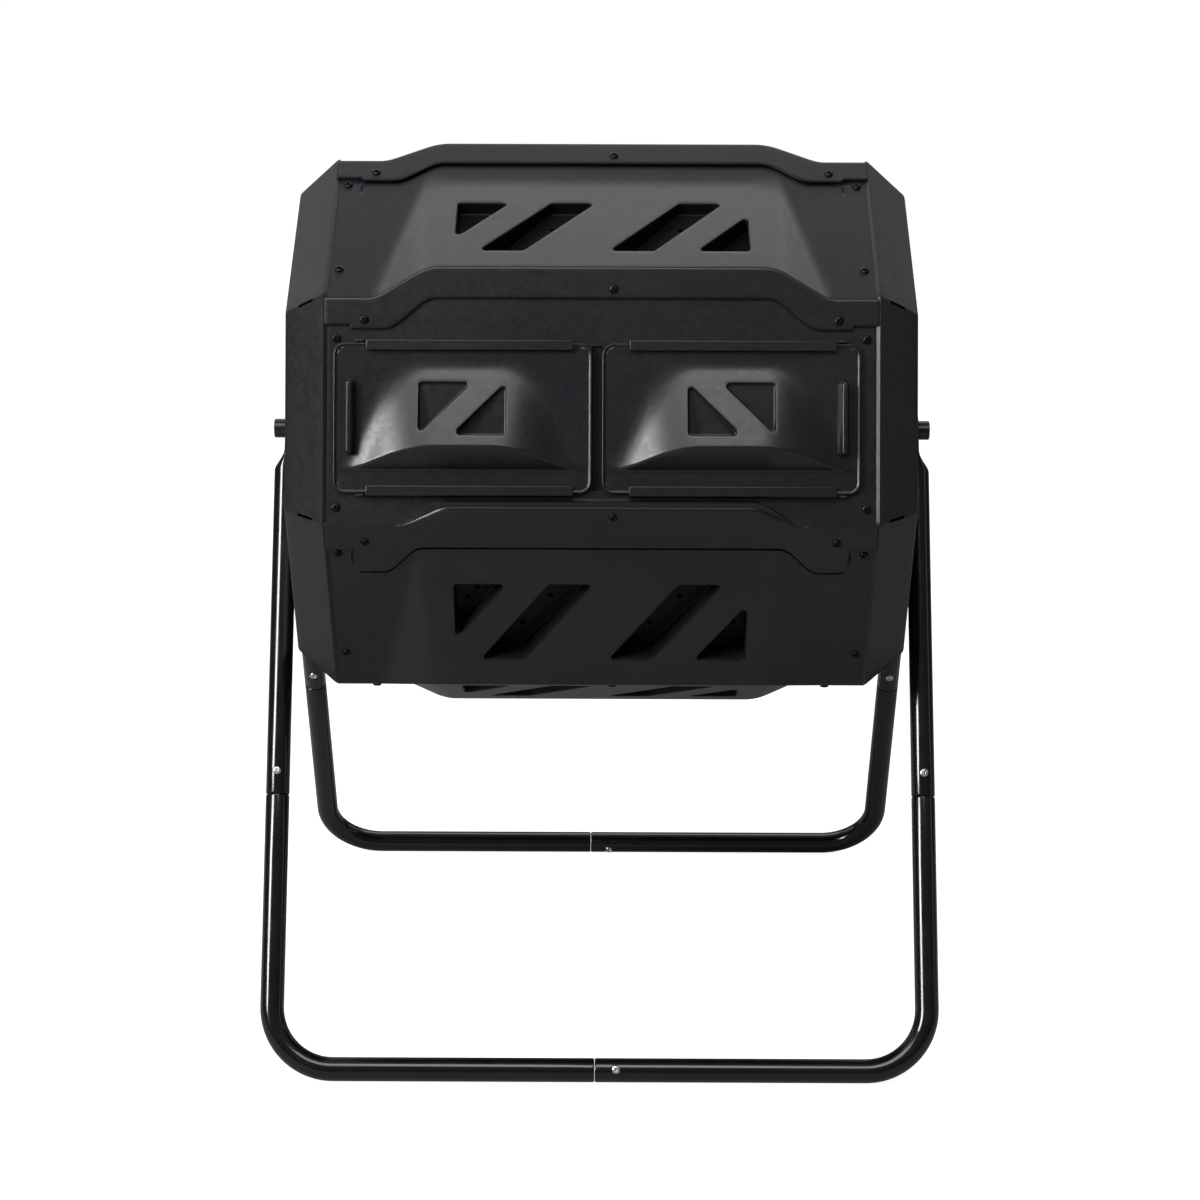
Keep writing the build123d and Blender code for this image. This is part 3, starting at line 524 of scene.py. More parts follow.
# ---- materials ----
class Graph:
    """The nodes of a new material or world, with short ways to add to them."""

    def __init__(self, owner):
        owner.use_nodes = True
        self.owner = owner
        self.nodes, self.links = owner.node_tree.nodes, owner.node_tree.links

    def fill(self, node, inputs):
        """Links or sets the inputs of a node."""
        for name, value in inputs.items():
            if isinstance(value, bpy.types.NodeSocket):
                self.links.new(value, node.inputs[name])
            else:
                node.inputs[name].default_value = value

    def add(self, kind, output, inputs=None):
        """Adds a node and returns one of its outputs."""
        node = self.nodes.new("ShaderNode" + kind)
        self.fill(node, inputs or {})
        return node.outputs[output]

    def surface(self, inputs):
        """Links or sets the inputs of the material's shader, and returns the material."""
        self.fill(self.nodes["Principled BSDF"], inputs)
        return self.owner

    def noise(self, scale, detail, roughness=0.5):
        coords = self.add("TexCoord", "Object")
        inputs = {"Vector": coords, "Scale": scale, "Detail": detail, "Roughness": roughness}
        return self.add("TexNoise", "Fac", inputs)

    def ramp(self, value, low, high, out_low, out_high):
        inputs = {"Value": value, "From Min": low, "From Max": high}
        return self.add("MapRange", "Result", {**inputs, "To Min": out_low, "To Max": out_high})

    def tint(self, value, dark, light):
        colour = self.add("ValToRGB", "Color", {"Fac": value})
        for i, place, tone in ((0, 0.3, dark), (1, 0.7, light)):
            colour.node.color_ramp.elements[i].position = place
            colour.node.color_ramp.elements[i].color = (*tone, 1)
        return colour

    def bump(self, height, strength, distance, **under):
        inputs = {"Height": height, "Strength": strength, "Distance": distance, **under}
        return self.add("Bump", "Normal", inputs)


def moulded_plastic(name, dark, light, roughness, grain=0.10, specular=0.5):
    """Satin polypropylene: a fine moulded grain over faint waves and flow marks."""
    graph = Graph(bpy.data.materials.new(name))
    broad = graph.noise(9.0, 3.0)
    mottle = graph.noise(160.0, 4.0, 0.6)
    fine = graph.noise(2100.0, 2.0, 0.55)
    waves = graph.bump(broad, 0.25, 0.0015)
    return graph.surface({
        "Base Color": graph.tint(broad, dark, light),
        "Roughness": graph.ramp(mottle, 0.3, 0.7, roughness - 0.04, roughness + 0.05),
        "Normal": graph.bump(fine, grain, 0.0002, Normal=waves),
        "Specular IOR Level": specular,
    })


def powder_coat(name):
    """Glossy black powder coat with a slight orange peel."""
    graph = Graph(bpy.data.materials.new(name))
    dust = graph.noise(35.0, 5.0, 0.65)
    return graph.surface({
        "Base Color": graph.tint(dust, (0.003,) * 3, (0.005,) * 3),
        "Roughness": graph.ramp(dust, 0.35, 0.7, 0.12, 0.22),
        "Normal": graph.bump(graph.noise(420.0, 2.0), 0.08, 0.0004),
        "Coat Weight": 0.25,
        "Coat Roughness": 0.06,
    })


def plated_steel(name, dark, light, roughness):
    """Zinc or oxide finish on small steel parts, with turning marks and dulled spots."""
    graph = Graph(bpy.data.materials.new(name))
    spots = graph.noise(600.0, 4.0, 0.6)
    return graph.surface({
        "Base Color": graph.tint(spots, dark, light),
        "Roughness": graph.ramp(spots, 0.3, 0.7, roughness - 0.06, roughness + 0.1),
        "Normal": graph.bump(graph.noise(2600.0, 2.0), 0.15, 0.0001),
        "Metallic": 1.0,
    })


CHARCOAL = moulded_plastic("charcoal_panel", (0.005, 0.006, 0.008), (0.008, 0.010, 0.012), 0.34)
DOOR_PLASTIC = moulded_plastic(
    "charcoal_door", (0.006, 0.007, 0.009), (0.010, 0.011, 0.013), 0.31, 0.02
)
CAP_PLASTIC = moulded_plastic("charcoal_cap", (0.005, 0.006, 0.007), (0.008, 0.009, 0.010), 0.38)
# painted shade: a near-black, dull plastic laid on the vent pockets, the rebate under the apron
# and the channel between the doors; it stands in for the shadow in them, not a colour of the
# moulding
PAINTED_SHADE_BLACK = moulded_plastic("painted_shade_black", (0.002,) * 3, (0.003,) * 3, 0.5, specular=0.2)
NYLON = moulded_plastic("black_nylon", (0.008, 0.008, 0.009), (0.012, 0.012, 0.013), 0.30, 0.04)
POWDER_COAT = powder_coat("black_powder_coat")
BLACK_SCREW = plated_steel("black_oxide", (0.012, 0.012, 0.013), (0.03, 0.03, 0.032), 0.30)
ZINC = plated_steel("bright_zinc", (0.62, 0.62, 0.63), (0.80, 0.80, 0.80), 0.22)


def panel_piece(name, shape, place=0, second=None):
    """A piece of moulded panel on one side of the barrel."""
    matrix = side_matrix(place)
    return build(name, shape, matrix, "barrel", CHARCOAL, second=second)


# ---- vented panels ----
def vent_outlines():
    """Corner points of one panel's four slanted vents."""
    lean = VENT_LEAN * (VENT_TOP - VENT_BOTTOM) / 2
    slants = [
        [
            (centre - VENT_HALF_WIDTH + lean, VENT_TOP),
            (centre - VENT_HALF_WIDTH - lean, VENT_BOTTOM),
            (centre + VENT_HALF_WIDTH - lean, VENT_BOTTOM),
            (centre + VENT_HALF_WIDTH + lean, VENT_TOP),
        ]
        for centre in (-VENT_CENTRE_X, VENT_CENTRE_X)
    ]
    left = [
        (-VENT_OUTER_X, VENT_TOP),
        (-VENT_OUTER_X, VENT_TOP - VENT_TRIANGLE / VENT_LEAN),
        (-VENT_OUTER_X + VENT_TRIANGLE, VENT_TOP),
    ]
    right = [(-x, VENT_TOP + VENT_BOTTOM - v) for x, v in left]
    return [left, *slants, right]


def air_holes(corners):
    """Outlines of the two air holes in a vent's floor."""
    x, v = (sum(p[axis] for p in corners) / len(corners) for axis in (0, 1))
    reach = SLANT_HOLES if len(corners) == 4 else TRIANGLE_HOLES
    spots = [(x + step * VENT_LEAN, v + step) for step in (-reach, reach)]
    angles = [2 * pi * i / 14 for i in range(14)]
    return [[(a + AIR_HOLE * cos(t), b + AIR_HOLE * sin(t)) for t in angles] for a, b in spots]


main_slope = plane_height(
    (0, WEDGE_START, 0), (0, WEDGE_RISE - HALF_SIDE, WEDGE_RISE), (1, WEDGE_START, 0)
)
cheek_slope = plane_height(
    (WEDGE_TOP_HALF, WEDGE_START, 0),
    (WEDGE_BASE_HALF, -HALF_SIDE, 0),
    (WEDGE_RIDGE_HALF, WEDGE_RISE - HALF_SIDE, WEDGE_RISE),
)


def wedge_height(x, v):
    """The soft raised wedge of a vented panel, with a fine groove above the notch."""
    x = abs(x)
    low = smooth(WEDGE_START, -HALF_SIDE, v)
    top = soft_min(main_slope(x, v), cheek_slope(x, v), mix(2.0, 6.0, low))
    foot = mix(1.2, 3.6, smooth(WEDGE_RIDGE_HALF - 30, WEDGE_BASE_HALF, x))
    groove = max(0.0, 1 - abs(x - NOTCH_X) / NOTCH_GROOVE)
    groove_end = HALF_SIDE - FLANGE_WIDTH - NOTCH_LENGTH
    return soft_max(top, 0.0, foot) - groove * smooth(groove_end - 2, groove_end, v)


def bend_start(x):
    """Where a vented panel's wedge meets the plane of its flange's outer face, as v."""
    low, high = -HALF_SIDE - 2 * CORNER_DROP, 0.0
    for _ in range(40):
        v = (low + high) / 2
        if wedge_height(x, v) > v + HALF_SIDE + CORNER_DROP:
            low = v
        else:
            high = v
    return v


def top_edge(x):
    """Height of a panel's upper edge, which runs up under the wedge above it."""
    return HALF_SIDE - TUCK + WEDGE_RISE * sqrt(2) * smooth(205, 155, abs(x))


def columns(extra):
    """Places along the barrel where the panels' rows have points."""
    count = int(2 * HALF_LENGTH / COLUMN_PITCH) + 1
    spots = {round(-HALF_LENGTH + i * COLUMN_PITCH, 3) for i in range(count)}
    spots.add(HALF_LENGTH)
    fine = [s * x for x in extra for s in (-1, 1)]
    spots = {x for x in spots if all(abs(x - f) > 1.0 for f in fine)}
    return sorted(spots | set(fine))


def flange_edge(x, width=FLANGE_WIDTH):
    """How far up the next side a vented panel's flange reaches down to, at x."""
    x = abs(x)
    edge = HALF_SIDE - width + WEDGE_RISE * sqrt(2) * smooth(*FLANGE_STEP, x)
    return edge + (FLANGE_WIDTH - NARROW_FLANGE) * smooth(NOTCH_X - 0.4, NOTCH_X + 0.4, x)


def apron_edge(x):
    """How far down the door panel's flange reaches at x, as v on the next side down."""
    x = abs(x)
    if x > APRON_HALF:
        return HALF_SIDE - NARROW_FLANGE
    edge = HALF_SIDE - mix(APRON_WIDTH, APRON_MIDDLE, smooth(*APRON_STEP, x))
    inset = x - (APRON_HALF - APRON_CORNER)
    if inset > 0:
        edge += APRON_CORNER - sqrt(max(0.0, APRON_CORNER**2 - inset**2))
    return edge


def rebate(x, v, cover, rows):
    """Depth of the shallow step that a panel has under the edge of the flange above it."""
    below = cover(x) - v
    step = smooth(rows[0], rows[1], below) * smooth(REBATE_TAIL, rows[2], below)
    return REBATE_DEPTH * step * smooth(*REBATE_END, abs(x))


def vented_skin(width, cover, steps=REBATE_ROWS):
    """The outer skin of a vented panel: wedge, vent pockets, bend and flange."""
    shape = Shape()
    xs = columns([NOTCH_X + d for d in (-NOTCH_GROOVE, -0.6, 0.0, 0.6, NOTCH_GROOVE)])
    arcs = []
    for x in xs:
        v = bend_start(x)
        height = wedge_height(x, v)
        slope = (-2, height - wedge_height(x, v + 2))
        arcs.append(bent((v, height), slope, (-BEND_COS, -BEND_SIN), BEND_RADIUS, BEND_STEPS))
    ends = [arc[0][0] for arc in arcs]
    span = top_edge(0) - ends[len(xs) // 2]

    def end_at(x):
        i = min(range(len(xs)), key=lambda k: abs(xs[k] - x))
        j = min(len(xs) - 1, i + 1) if xs[i] <= x else max(0, i - 1)
        if i == j:
            return ends[i]
        return mix(ends[i], ends[j], clamp((x - xs[i]) / (xs[j] - xs[i])))

    # the flat face is meshed in (x, -q), where q runs from 0 at the top to span at the bend
    def to_v(x, q):
        return top_edge(x) - q / span * (top_edge(x) - end_at(x))

    def to_q(x, v):
        return (top_edge(x) - v) / (top_edge(x) - end_at(x)) * span

    vents = vent_outlines()
    mouths = []
    for corners in vents:
        ring = rounded_loop(corners, VENT_CORNER, VENT_WELL["edge"])
        mouths.append([(x, -to_q(x, v)) for x, v in ring])
    rows = ceil(span / 5)
    side = [span * i / rows for i in range(1, rows)]
    border = [(x, -span) for x in xs]
    border += [(HALF_LENGTH, -q) for q in reversed(side)]
    border += [(x, 0.0) for x in reversed(xs)]
    border += [(-HALF_LENGTH, -q) for q in side]
    lattice = [
        (x, -q)
        for x in xs[1:-1]
        for q in side
        if all(abs(cover(x) - step - to_v(x, q)) > 1.5 for step in steps)
    ]
    reach = [x for x in xs if abs(x) < 250]
    lines = [[(x, -to_q(x, cover(x) - step)) for x in reach] for step in steps]
    flat, faces, loops = triangulate(border, mouths, lattice, 1.6, lines)
    points = []
    for p in flat:
        v = to_v(p.x, -p.y)
        points.append((p.x, v, wedge_height(p.x, v) - rebate(p.x, v, cover, steps)))
    index = shape.row(points)
    shape.patch(index, faces)
    # painted shade: on the lower front panel the rebate's faces under the apron's edge take the
    # near-black material as the shadow line below it
    if cover is apron_edge:
        shape.shade(lambda x, v, n: abs(x) < 246 and steps[2] < cover(x) - v < steps[0] - 0.3)
    # bend and flange
    rows = [[index[i] for i in loops[0][: len(xs)]]]
    for k in range(1, BEND_STEPS + 1):
        rows.append(shape.row((x, *arc[k]) for x, arc in zip(xs, arcs)))
    tops = [flange_height(arc[-1]) for arc in arcs]
    for k in range(1, FLANGE_ROWS + 1):
        levels = [mix(top, flange_edge(x, width), k / FLANGE_ROWS) for x, top in zip(xs, tops)]
        rows.append(shape.row(flange_point(x, v, FLANGE_LIFT) for x, v in zip(xs, levels)))
    shape.rings(rows, closed=False, flip=True)
    # vent pockets
    first = len(shape.faces)
    for corners, loop in zip(vents, loops[1:]):
        across = [x for x, _ in rounded_loop(corners, VENT_CORNER, -VENT_WELL["inset"])]
        area = (min(across), max(across), VENT_BOTTOM, VENT_TOP)
        mouth, holes = [index[i] for i in loop], air_holes(corners)
        well(shape, corners, mouth, wedge_height, pocket_floor, area, holes, **VENT_WELL)
    # painted shade: the pockets' walls and floors take the near-black material for the darkness
    # deep in them
    shape.dark.update(range(first, len(shape.faces)))
    return shape


def well(
    shape, corners, mouth, surface, floor, area, holes,
    *, edge, draft, foot, inset, pitch, mesh, margin,
):
    """A hollow from its mouth's ring of points inwards: rounded edge, wall, foot and floor."""
    rings = []
    for i in range(1, 5):
        angle = pi / 2 * i / 4
        rings.append((edge * (1 - sin(angle)), surface, -edge * (1 - cos(angle))))
    for i in range(4):
        angle = pi / 2 * i / 3
        rings.append((-draft - foot * (1 - cos(angle)), floor, foot * (1 - sin(angle))))
    rings.append((-inset, floor, 0.0))
    rows = [mouth]
    for grow, height, lift in rings:
        loop = rounded_loop(corners, VENT_CORNER, grow, pitch=pitch)
        rows.append(shape.row((x, v, height(x, v) + lift) for x, v in loop))
    shape.rings(rows)
    flat, faces, loops = triangulate(loop, holes, grid(*area, mesh), margin)
    index = dict(zip(loops[0], rows[-1]))
    for i, p in enumerate(flat):
        if i not in index:
            index[i] = shape.row([(p.x, p.y, floor(p.x, p.y))])[0]
    shape.patch(index, faces)


def pocket_floor(x, v):
    return POCKET_FLOOR


wide_skin = vented_skin(FLANGE_WIDTH, flange_edge)
special_skins = {
    "panel_upper_front": vented_skin(NARROW_FLANGE, flange_edge),
    "panel_lower_front": vented_skin(FLANGE_WIDTH, apron_edge, APRON_ROWS),
}
for place, name in enumerate(VENTED, 1):
    skin = special_skins.get(name, wide_skin)
    panel = panel_piece(f"{name}_skin", skin, place, PAINTED_SHADE_BLACK)
    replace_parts(thicken(panel, edge=PANEL_EDGE), name)


# ---- door frame panel ----
def door_panel_skin():
    """The outer skin of the front side: flat with two mouths, lip, bend and apron."""
    shape = Shape()
    near_end = [APRON_HALF - APRON_CORNER * (1 - sin(radians(a))) for a in (0, 20, 40, 55, 70, 80)]
    xs = columns([*near_end, APRON_HALF - 0.05, APRON_HALF + 0.25])
    low = LIP_START + 6.5
    rows = 36
    mouths = []
    for side, _ in HANDS:
        x0, x1 = sorted((side * MOUTH_INNER_X, side * MOUTH_OUTER_X))
        mouths.append(rounded_loop(rectangle(x0, x1, MOUTH_BOTTOM, MOUTH_TOP), MOUTH_CORNER))
    heights = [mix(low, HALF_SIDE - TUCK, i / rows) for i in range(1, rows)]
    border = [(x, low) for x in xs]
    border += [(HALF_LENGTH, v) for v in heights]
    border += [(x, top_edge(x)) for x in reversed(xs)]
    border += [(-HALF_LENGTH, v) for v in reversed(heights)]
    channel = rectangle(*CHANNEL_X, low + 3, CHANNEL_TOP)
    floor_line, middle, rim_line = (rounded_loop(channel, 2.0, -d) for d in (0.7, 0.35, 0.0))
    lattice = [
        (x, v)
        for x, v in grid(-HALF_LENGTH, HALF_LENGTH, low, HALF_SIDE + 20, 6)
        if gap_to(rim_line, x, v) > 1.4
    ]
    lines = [[*floor_line, floor_line[0]], [*rim_line, rim_line[0]]]
    flat, faces, loops = triangulate(border, mouths, lattice, 1.6, lines)
    index = shape.row((p.x, p.y, -CHANNEL_DEPTH * inside(middle, p.x, p.y)) for p in flat)
    shape.patch(index, faces)
    # painted shade: the channel between the doors takes the near-black material for the shadow in
    # the gap
    shape.shade(lambda x, v, n: inside(rim_line, x, v))
    sections = zip(*(door_section(x, low) for x in xs))
    next(sections)
    rows = [[index[i] for i in loops[0][: len(xs)]]]
    rows += [shape.row(points) for points in sections]
    shape.rings(rows, closed=False, flip=True)
    return shape


def door_section(x, low):
    """Points of the lip, bend and flange at x, from just above the lip down."""
    share = smooth(LIP_END, LIP_PLATEAU, abs(x))  # the lip runs out at both ends
    base = -HALF_SIDE - CORNER_DROP
    foot = (mix(base, LIP_START, share), 0.0)
    ridge = (base + share * LIP_RIDGE, share * LIP_RIDGE)
    slope = (ridge[0] - foot[0], ridge[1] - foot[1])
    length = hypot(*slope)
    down = (-BEND_COS, -BEND_SIN)
    points = [(low, 0.0)]
    if length > 0.5:
        inner, outer = min(1.2, length * 0.2), max(0.3, min(5.8, length * 0.4))
        points += [(mix(low, foot[0] + inner, i / 3), 0.0) for i in (1, 2)]
        points += bent(foot, (-1, 0), slope, inner, 5)
        points += bent(ridge, slope, down, outer, 6)
    else:
        points += [(mix(low, foot[0] + 6.0, i / 3), 0.0) for i in (1, 2)]
        points += [(foot[0] + 6.0 - i, 0.0) for i in range(6)]
        points += bent((base, 0.0), (-1, 0), down, 0.8, 6)
    section = [(x, v, n) for v, n in points]
    # flange, with a fine groove along part of it
    top, edge = flange_height(points[-1]), apron_edge(x)
    start, end = GROOVE_V + GROOVE_WIDTH, GROOVE_V - GROOVE_WIDTH
    cut = GROOVE_DEPTH * smooth(-70, -64, x) * smooth(151, 145, x)
    levels = [(mix(top, start, i / 3), 0.0) for i in (1, 2)]
    for k, depth in ((1, 0), (0.5, 0.8), (0, 1), (-0.5, 0.8), (-1, 0)):
        levels.append((GROOVE_V + GROOVE_WIDTH * k, cut * depth))
    levels += [(mix(end, edge, i / 7), 0.0) for i in range(1, 8)]
    return section + [flange_point(x, v, FLANGE_LIFT - depth) for v, depth in levels]


front = panel_piece("door_frame_skin", door_panel_skin(), second=PAINTED_SHADE_BLACK)
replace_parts(thicken(front, edge=PANEL_EDGE), "door_frame_panel")


def rail_section(edge, up):
    """L-shaped section, in (v, n), that hooks over a door's edge."""
    web, lip = edge + up * 0.6, edge + up * 0.6 - up * 8.0
    points = [(web, -0.5), (web + up * 3.2, -0.5), (web + up * 2.2, 8.2)]
    return points + [(lip, 8.2), (lip, 5.6), (web, 5.6)]


def stop_section(edge, up):
    """Section of the small stop at a rail's outer end."""
    web = edge + up * 0.9
    return [(web, -0.5), (web + up * 3.0, -0.5), (web + up * 2.6, 4.2), (web + up * 0.2, 4.2)]


RAIL_PARTS = (  # name, section, both ends and rounding
    ("rail", rail_section, RAIL_INNER_X, RAIL_OUTER_X, 0.9),
    ("rail_stop", stop_section, RAIL_OUTER_X + 2, RAIL_OUTER_X + 11, 0.8),
)
for height, up, level in ((DOOR_TOP, 1, "upper"), (DOOR_BOTTOM, -1, "lower")):
    for side, hand in HANDS:
        for part, section, inner, outer, rounding in RAIL_PARTS:
            loop = section(height, up)[:: -up]
            bar = Shape()
            ends = [[(x, v, n) for v, n in loop] for x in sorted((side * inner, side * outer))]
            bar.prism(*ends, flip=True)
            soften(panel_piece(f"{part}_{level}_{hand}", bar), rounding, 3)

# ---- doors ----
BULGE_RIDGE = BULGE_BOTTOM + BULGE_RISE
bulge_upper = plane_height((0, BULGE_TOP, 0), (0, BULGE_RIDGE, BULGE_RISE), (1, BULGE_TOP, 0))
bulge_lower = plane_height(
    (0, BULGE_BOTTOM, 0), (0, BULGE_RIDGE, BULGE_RISE), (1, BULGE_BOTTOM, 0)
)
bulge_cheek = plane_height(
    (BULGE_TOP_HALF, BULGE_TOP, 0),
    (BULGE_BASE_HALF, BULGE_BOTTOM, 0),
    (BULGE_RIDGE_HALF, BULGE_RIDGE, BULGE_RISE),
)
DOOR_OUTLINE = rectangle(-DOOR_WIDTH / 2, DOOR_WIDTH / 2, DOOR_BOTTOM, DOOR_TOP)


def bulge_height(x, v):
    """The soft hill of a door, with a crisp lower ridge."""
    x = abs(x)
    hill = soft_min(bulge_upper(x, v), bulge_cheek(x, v), 13.0)
    hill = soft_max(hill, 0.0, mix(1.5, 6.0, smooth(30, 90, x)))
    face = soft_max(bulge_lower(x, v), 0.0, 1.5)
    return soft_min(hill, face, 1.6) + 0.4 * smooth(0, 3, min(hill, face))


def recess_floor(x, v):
    return 0.2 * bulge_upper(x, v) + 0.2


def door_skin():
    """Front skin of the right door, inside its rim, with its two triangular recesses."""
    shape = Shape()
    area = (-DOOR_WIDTH / 2, DOOR_WIDTH / 2, DOOR_BOTTOM, DOOR_TOP)
    border = rounded_loop(DOOR_OUTLINE, DOOR_CORNER, -RIM_WIDTH * 0.6, 7, 5.0)
    w, h = RECESS_HALF_WIDTH, RECESS_HALF_HEIGHT
    outer = [(w, h), (w - RECESS_RUN, h), (w, -h)]
    recesses = [outer, [(-x, -v) for x, v in outer]]
    edge, pitch = RECESS_WELL["edge"], RECESS_WELL["pitch"]
    mouths = [rounded_loop(c, VENT_CORNER, edge, pitch=pitch) for c in recesses]
    feet = [(-BULGE_BASE_HALF, BULGE_BOTTOM), (BULGE_BASE_HALF, BULGE_BOTTOM)]
    tops = [(-BULGE_RIDGE_HALF, BULGE_RIDGE), (BULGE_RIDGE_HALF, BULGE_RIDGE)]
    creases = [[feet[0], tops[0]], tops, [tops[1], feet[1]], feet]
    lattice = [
        (x, v)
        for x, v in grid(*area, 3.2)
        if all(gap_to(crease, x, v) > 4.2 for crease in creases)
    ]
    for side in (-2.8, -1.4, 0.0, 1.4, 2.8):
        for start, end in creases:
            lattice += beside(start, end, side, 2.2)
    flat, faces, loops = triangulate(border, mouths, thinned(lattice, 1.0), 1.4)
    index = shape.row((p.x, p.y, bulge_height(p.x, p.y)) for p in flat)
    shape.patch(index, faces)
    for corners, loop in zip(recesses, loops[1:]):
        mouth = [index[i] for i in loop]
        well(shape, corners, mouth, bulge_height, recess_floor, area, [], **RECESS_WELL)
    return shape


def add_rim(shape):
    """Closed ring with a rounded section round the door's edge."""
    angles = (0.5, 1.0, pi / 2)
    section = [(0.0, -2.5), (0.0, 0.9)]
    section += [(-0.9 * (1 - cos(a)), RIM_HEIGHT - 0.9 * (1 - sin(a))) for a in angles]
    section += [(-RIM_WIDTH + 0.8 * (1 - sin(a)), RIM_HEIGHT - 0.8 * (1 - cos(a))) for a in angles]
    section += [(-RIM_WIDTH, 0.4), (-RIM_WIDTH - 1.0, -0.1), (-RIM_WIDTH - 1.0, -2.5)]
    rows = []
    for grow, n in section:
        loop = rounded_loop(DOOR_OUTLINE, DOOR_CORNER, grow, 7, 20.0)
        rows.append(shape.row((x, v, n) for x, v in loop))
    shape.rings([*rows, rows[0]])


def add_grip(shape):
    """Finger grip near a door's outer end: a tapered bar that leans outwards."""
    levels = [(-0.5, 6.2, 0.0), (0.6, 5.2, 0.1), (4.0, 4.0, 0.6), (7.5, 3.2, 1.2)]
    levels += [(9.3, 2.9, 1.6), (10.2, 2.3, 1.7), (10.5, 1.4, 1.7)]
    rows = []
    for n, half, lean in levels:
        end = 5.5 - half
        corners = rectangle(
            GRIP_X - half + lean, GRIP_X + half + lean, GRIP_BOTTOM + end, GRIP_TOP - end
        )
        loop = rounded_loop(corners, half * 0.95, 0, 6, 8.0)
        rows.append(shape.row((x, v, n) for x, v in loop))
    shape.rings(rows)
    shape.cap(rows[-1])


door_front, door_trim = door_skin(), Shape()
add_rim(door_trim)
add_grip(door_trim)
for name, centre in (("door_left", LEFT_DOOR_X), ("door_right", RIGHT_DOOR_X)):
    place = side_matrix(0, DOOR_BASE, centre)
    skin, trim = door_front, door_trim
    if centre < 0:
        skin, trim = skin.mirrored(), trim.mirrored()
    leaf = build(f"{name}_skin", skin, place, name, DOOR_PLASTIC, 40)
    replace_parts(thicken(leaf, DOOR_SKIN), name)
    build(f"{name}_rim", trim, place, name, DOOR_PLASTIC, 40)


# ---- end caps ----
def octagon_ring(x, apothem):
    """Ring of points round the barrel at x, with its eight corners rounded."""
    reach = apothem / cos(BEND / 2)
    angles = [radians(DOOR_TILT + STEP * (i + 0.5)) for i in range(SIDES)]
    corners = [(-cos(a) * reach, sin(a) * reach) for a in angles]
    loop = rounded_loop(corners, CAP_CORNER, 0.0, CAP_CORNER_TURNS, 1e9)
    size = CAP_CORNER_TURNS + 1
    points = []
    for first in range(0, len(loop), size):
        arc = loop[first : first + size]
        (y0, z0), (y1, z1) = arc[-1], loop[(first + size) % len(loop)]
        shares = [j / CAP_SIDE_STEPS for j in range(1, CAP_SIDE_STEPS)]
        points += arc + [(mix(y0, y1, share), mix(z0, z1, share)) for share in shares]
    return [(x, y, z + PIVOT_HEIGHT) for y, z in points]


def hub_ring(like, x, radius):
    """Round ring with its points in line with those of an octagonal ring."""
    points = []
    for _, y, z in like:
        angle = atan2(z - PIVOT_HEIGHT, y)
        points.append((x, radius * cos(angle), PIVOT_HEIGHT + radius * sin(angle)))
    return points


def cap_skin():
    """Outer skin of the right end cap: cone, rounded edge, flat face and raised hub."""
    drop = APOTHEM - CAP_FACE_APOTHEM
    taper = drop / CAP_DEPTH
    steps = [(0.0, APOTHEM - 3.0), (0.0, APOTHEM - 0.8), (0.8, APOTHEM - 0.4)]
    steps += [(s * CAP_DEPTH, APOTHEM - s * CAP_DEPTH * taper) for s in (0.06, 0.2, 0.4, 0.6, 0.8)]
    rings = [octagon_ring(HALF_LENGTH + depth, apothem) for depth, apothem in steps]
    # arc from the cone's direction to the face's
    slant = atan2(drop, CAP_DEPTH)
    turn = pi / 2 - slant
    reach = CAP_EDGE * tan(turn / 2)
    for i in range(6):
        along = CAP_EDGE * sin(turn * i / 5)
        aside = CAP_EDGE * (1 - cos(turn * i / 5))
        x = CAP_FACE_X - cos(slant) * reach + cos(slant) * along - sin(slant) * aside
        apothem = CAP_FACE_APOTHEM + sin(slant) * reach - sin(slant) * along - cos(slant) * aside
        rings.append(octagon_ring(x, apothem))
    edge = rings[-1]
    face = [(CAP_FACE_X, y, z) for _, y, z in edge]
    around = hub_ring(edge, CAP_FACE_X, HUB_RADIUS + 2.5)
    for share in (0.12, 0.3, 0.5, 0.7, 0.88, 1.0):
        rings.append([tuple(mix(p, q, share) for p, q in zip(u, w)) for u, w in zip(face, around)])
    hub = [(HUB_RADIUS + 0.8, 0.5), (HUB_RADIUS, 2.0), (HUB_RADIUS - 0.4, HUB_HEIGHT - 1.5)]
    hub += [(HUB_RADIUS - 0.9, HUB_HEIGHT - 0.4), (HUB_RADIUS - 2.0, HUB_HEIGHT)]
    hub += [(BUSH_RADIUS + 2, HUB_HEIGHT), (BUSH_RADIUS + 0.3, HUB_HEIGHT - 0.6)]
    hub += [(BUSH_RADIUS + 0.2, HUB_HEIGHT - 8)]
    rings += [hub_ring(edge, CAP_FACE_X + height, r) for r, height in hub]
    shape = Shape()
    rows = [shape.row(ring) for ring in rings]
    shape.rings(rows[::-1])
    return shape


def slot_cutters():
    """Eight short slots along the slanted corners of a cap, as one cutting shape."""
    shape = Shape()
    for i in range(SIDES):
        out = outward(i + 0.5)
        across = out.cross(ALONG)
        middle = Vector((HALF_LENGTH + CAP_DEPTH / 2, 0, PIVOT_HEIGHT))
        middle += out * (APOTHEM / cos(BEND / 2) - SLOT_DEPTH)
        loop = rounded_loop(rectangle(-8, 8, -1.6, 1.6), 1.2, 0, 4, 50)
        flat = [middle + ALONG * a + across * b for a, b in loop]
        shape.prism(*([p + out * depth for p in flat] for depth in (-SLOT_DEPTH, SLOT_DEPTH)))
    return shape


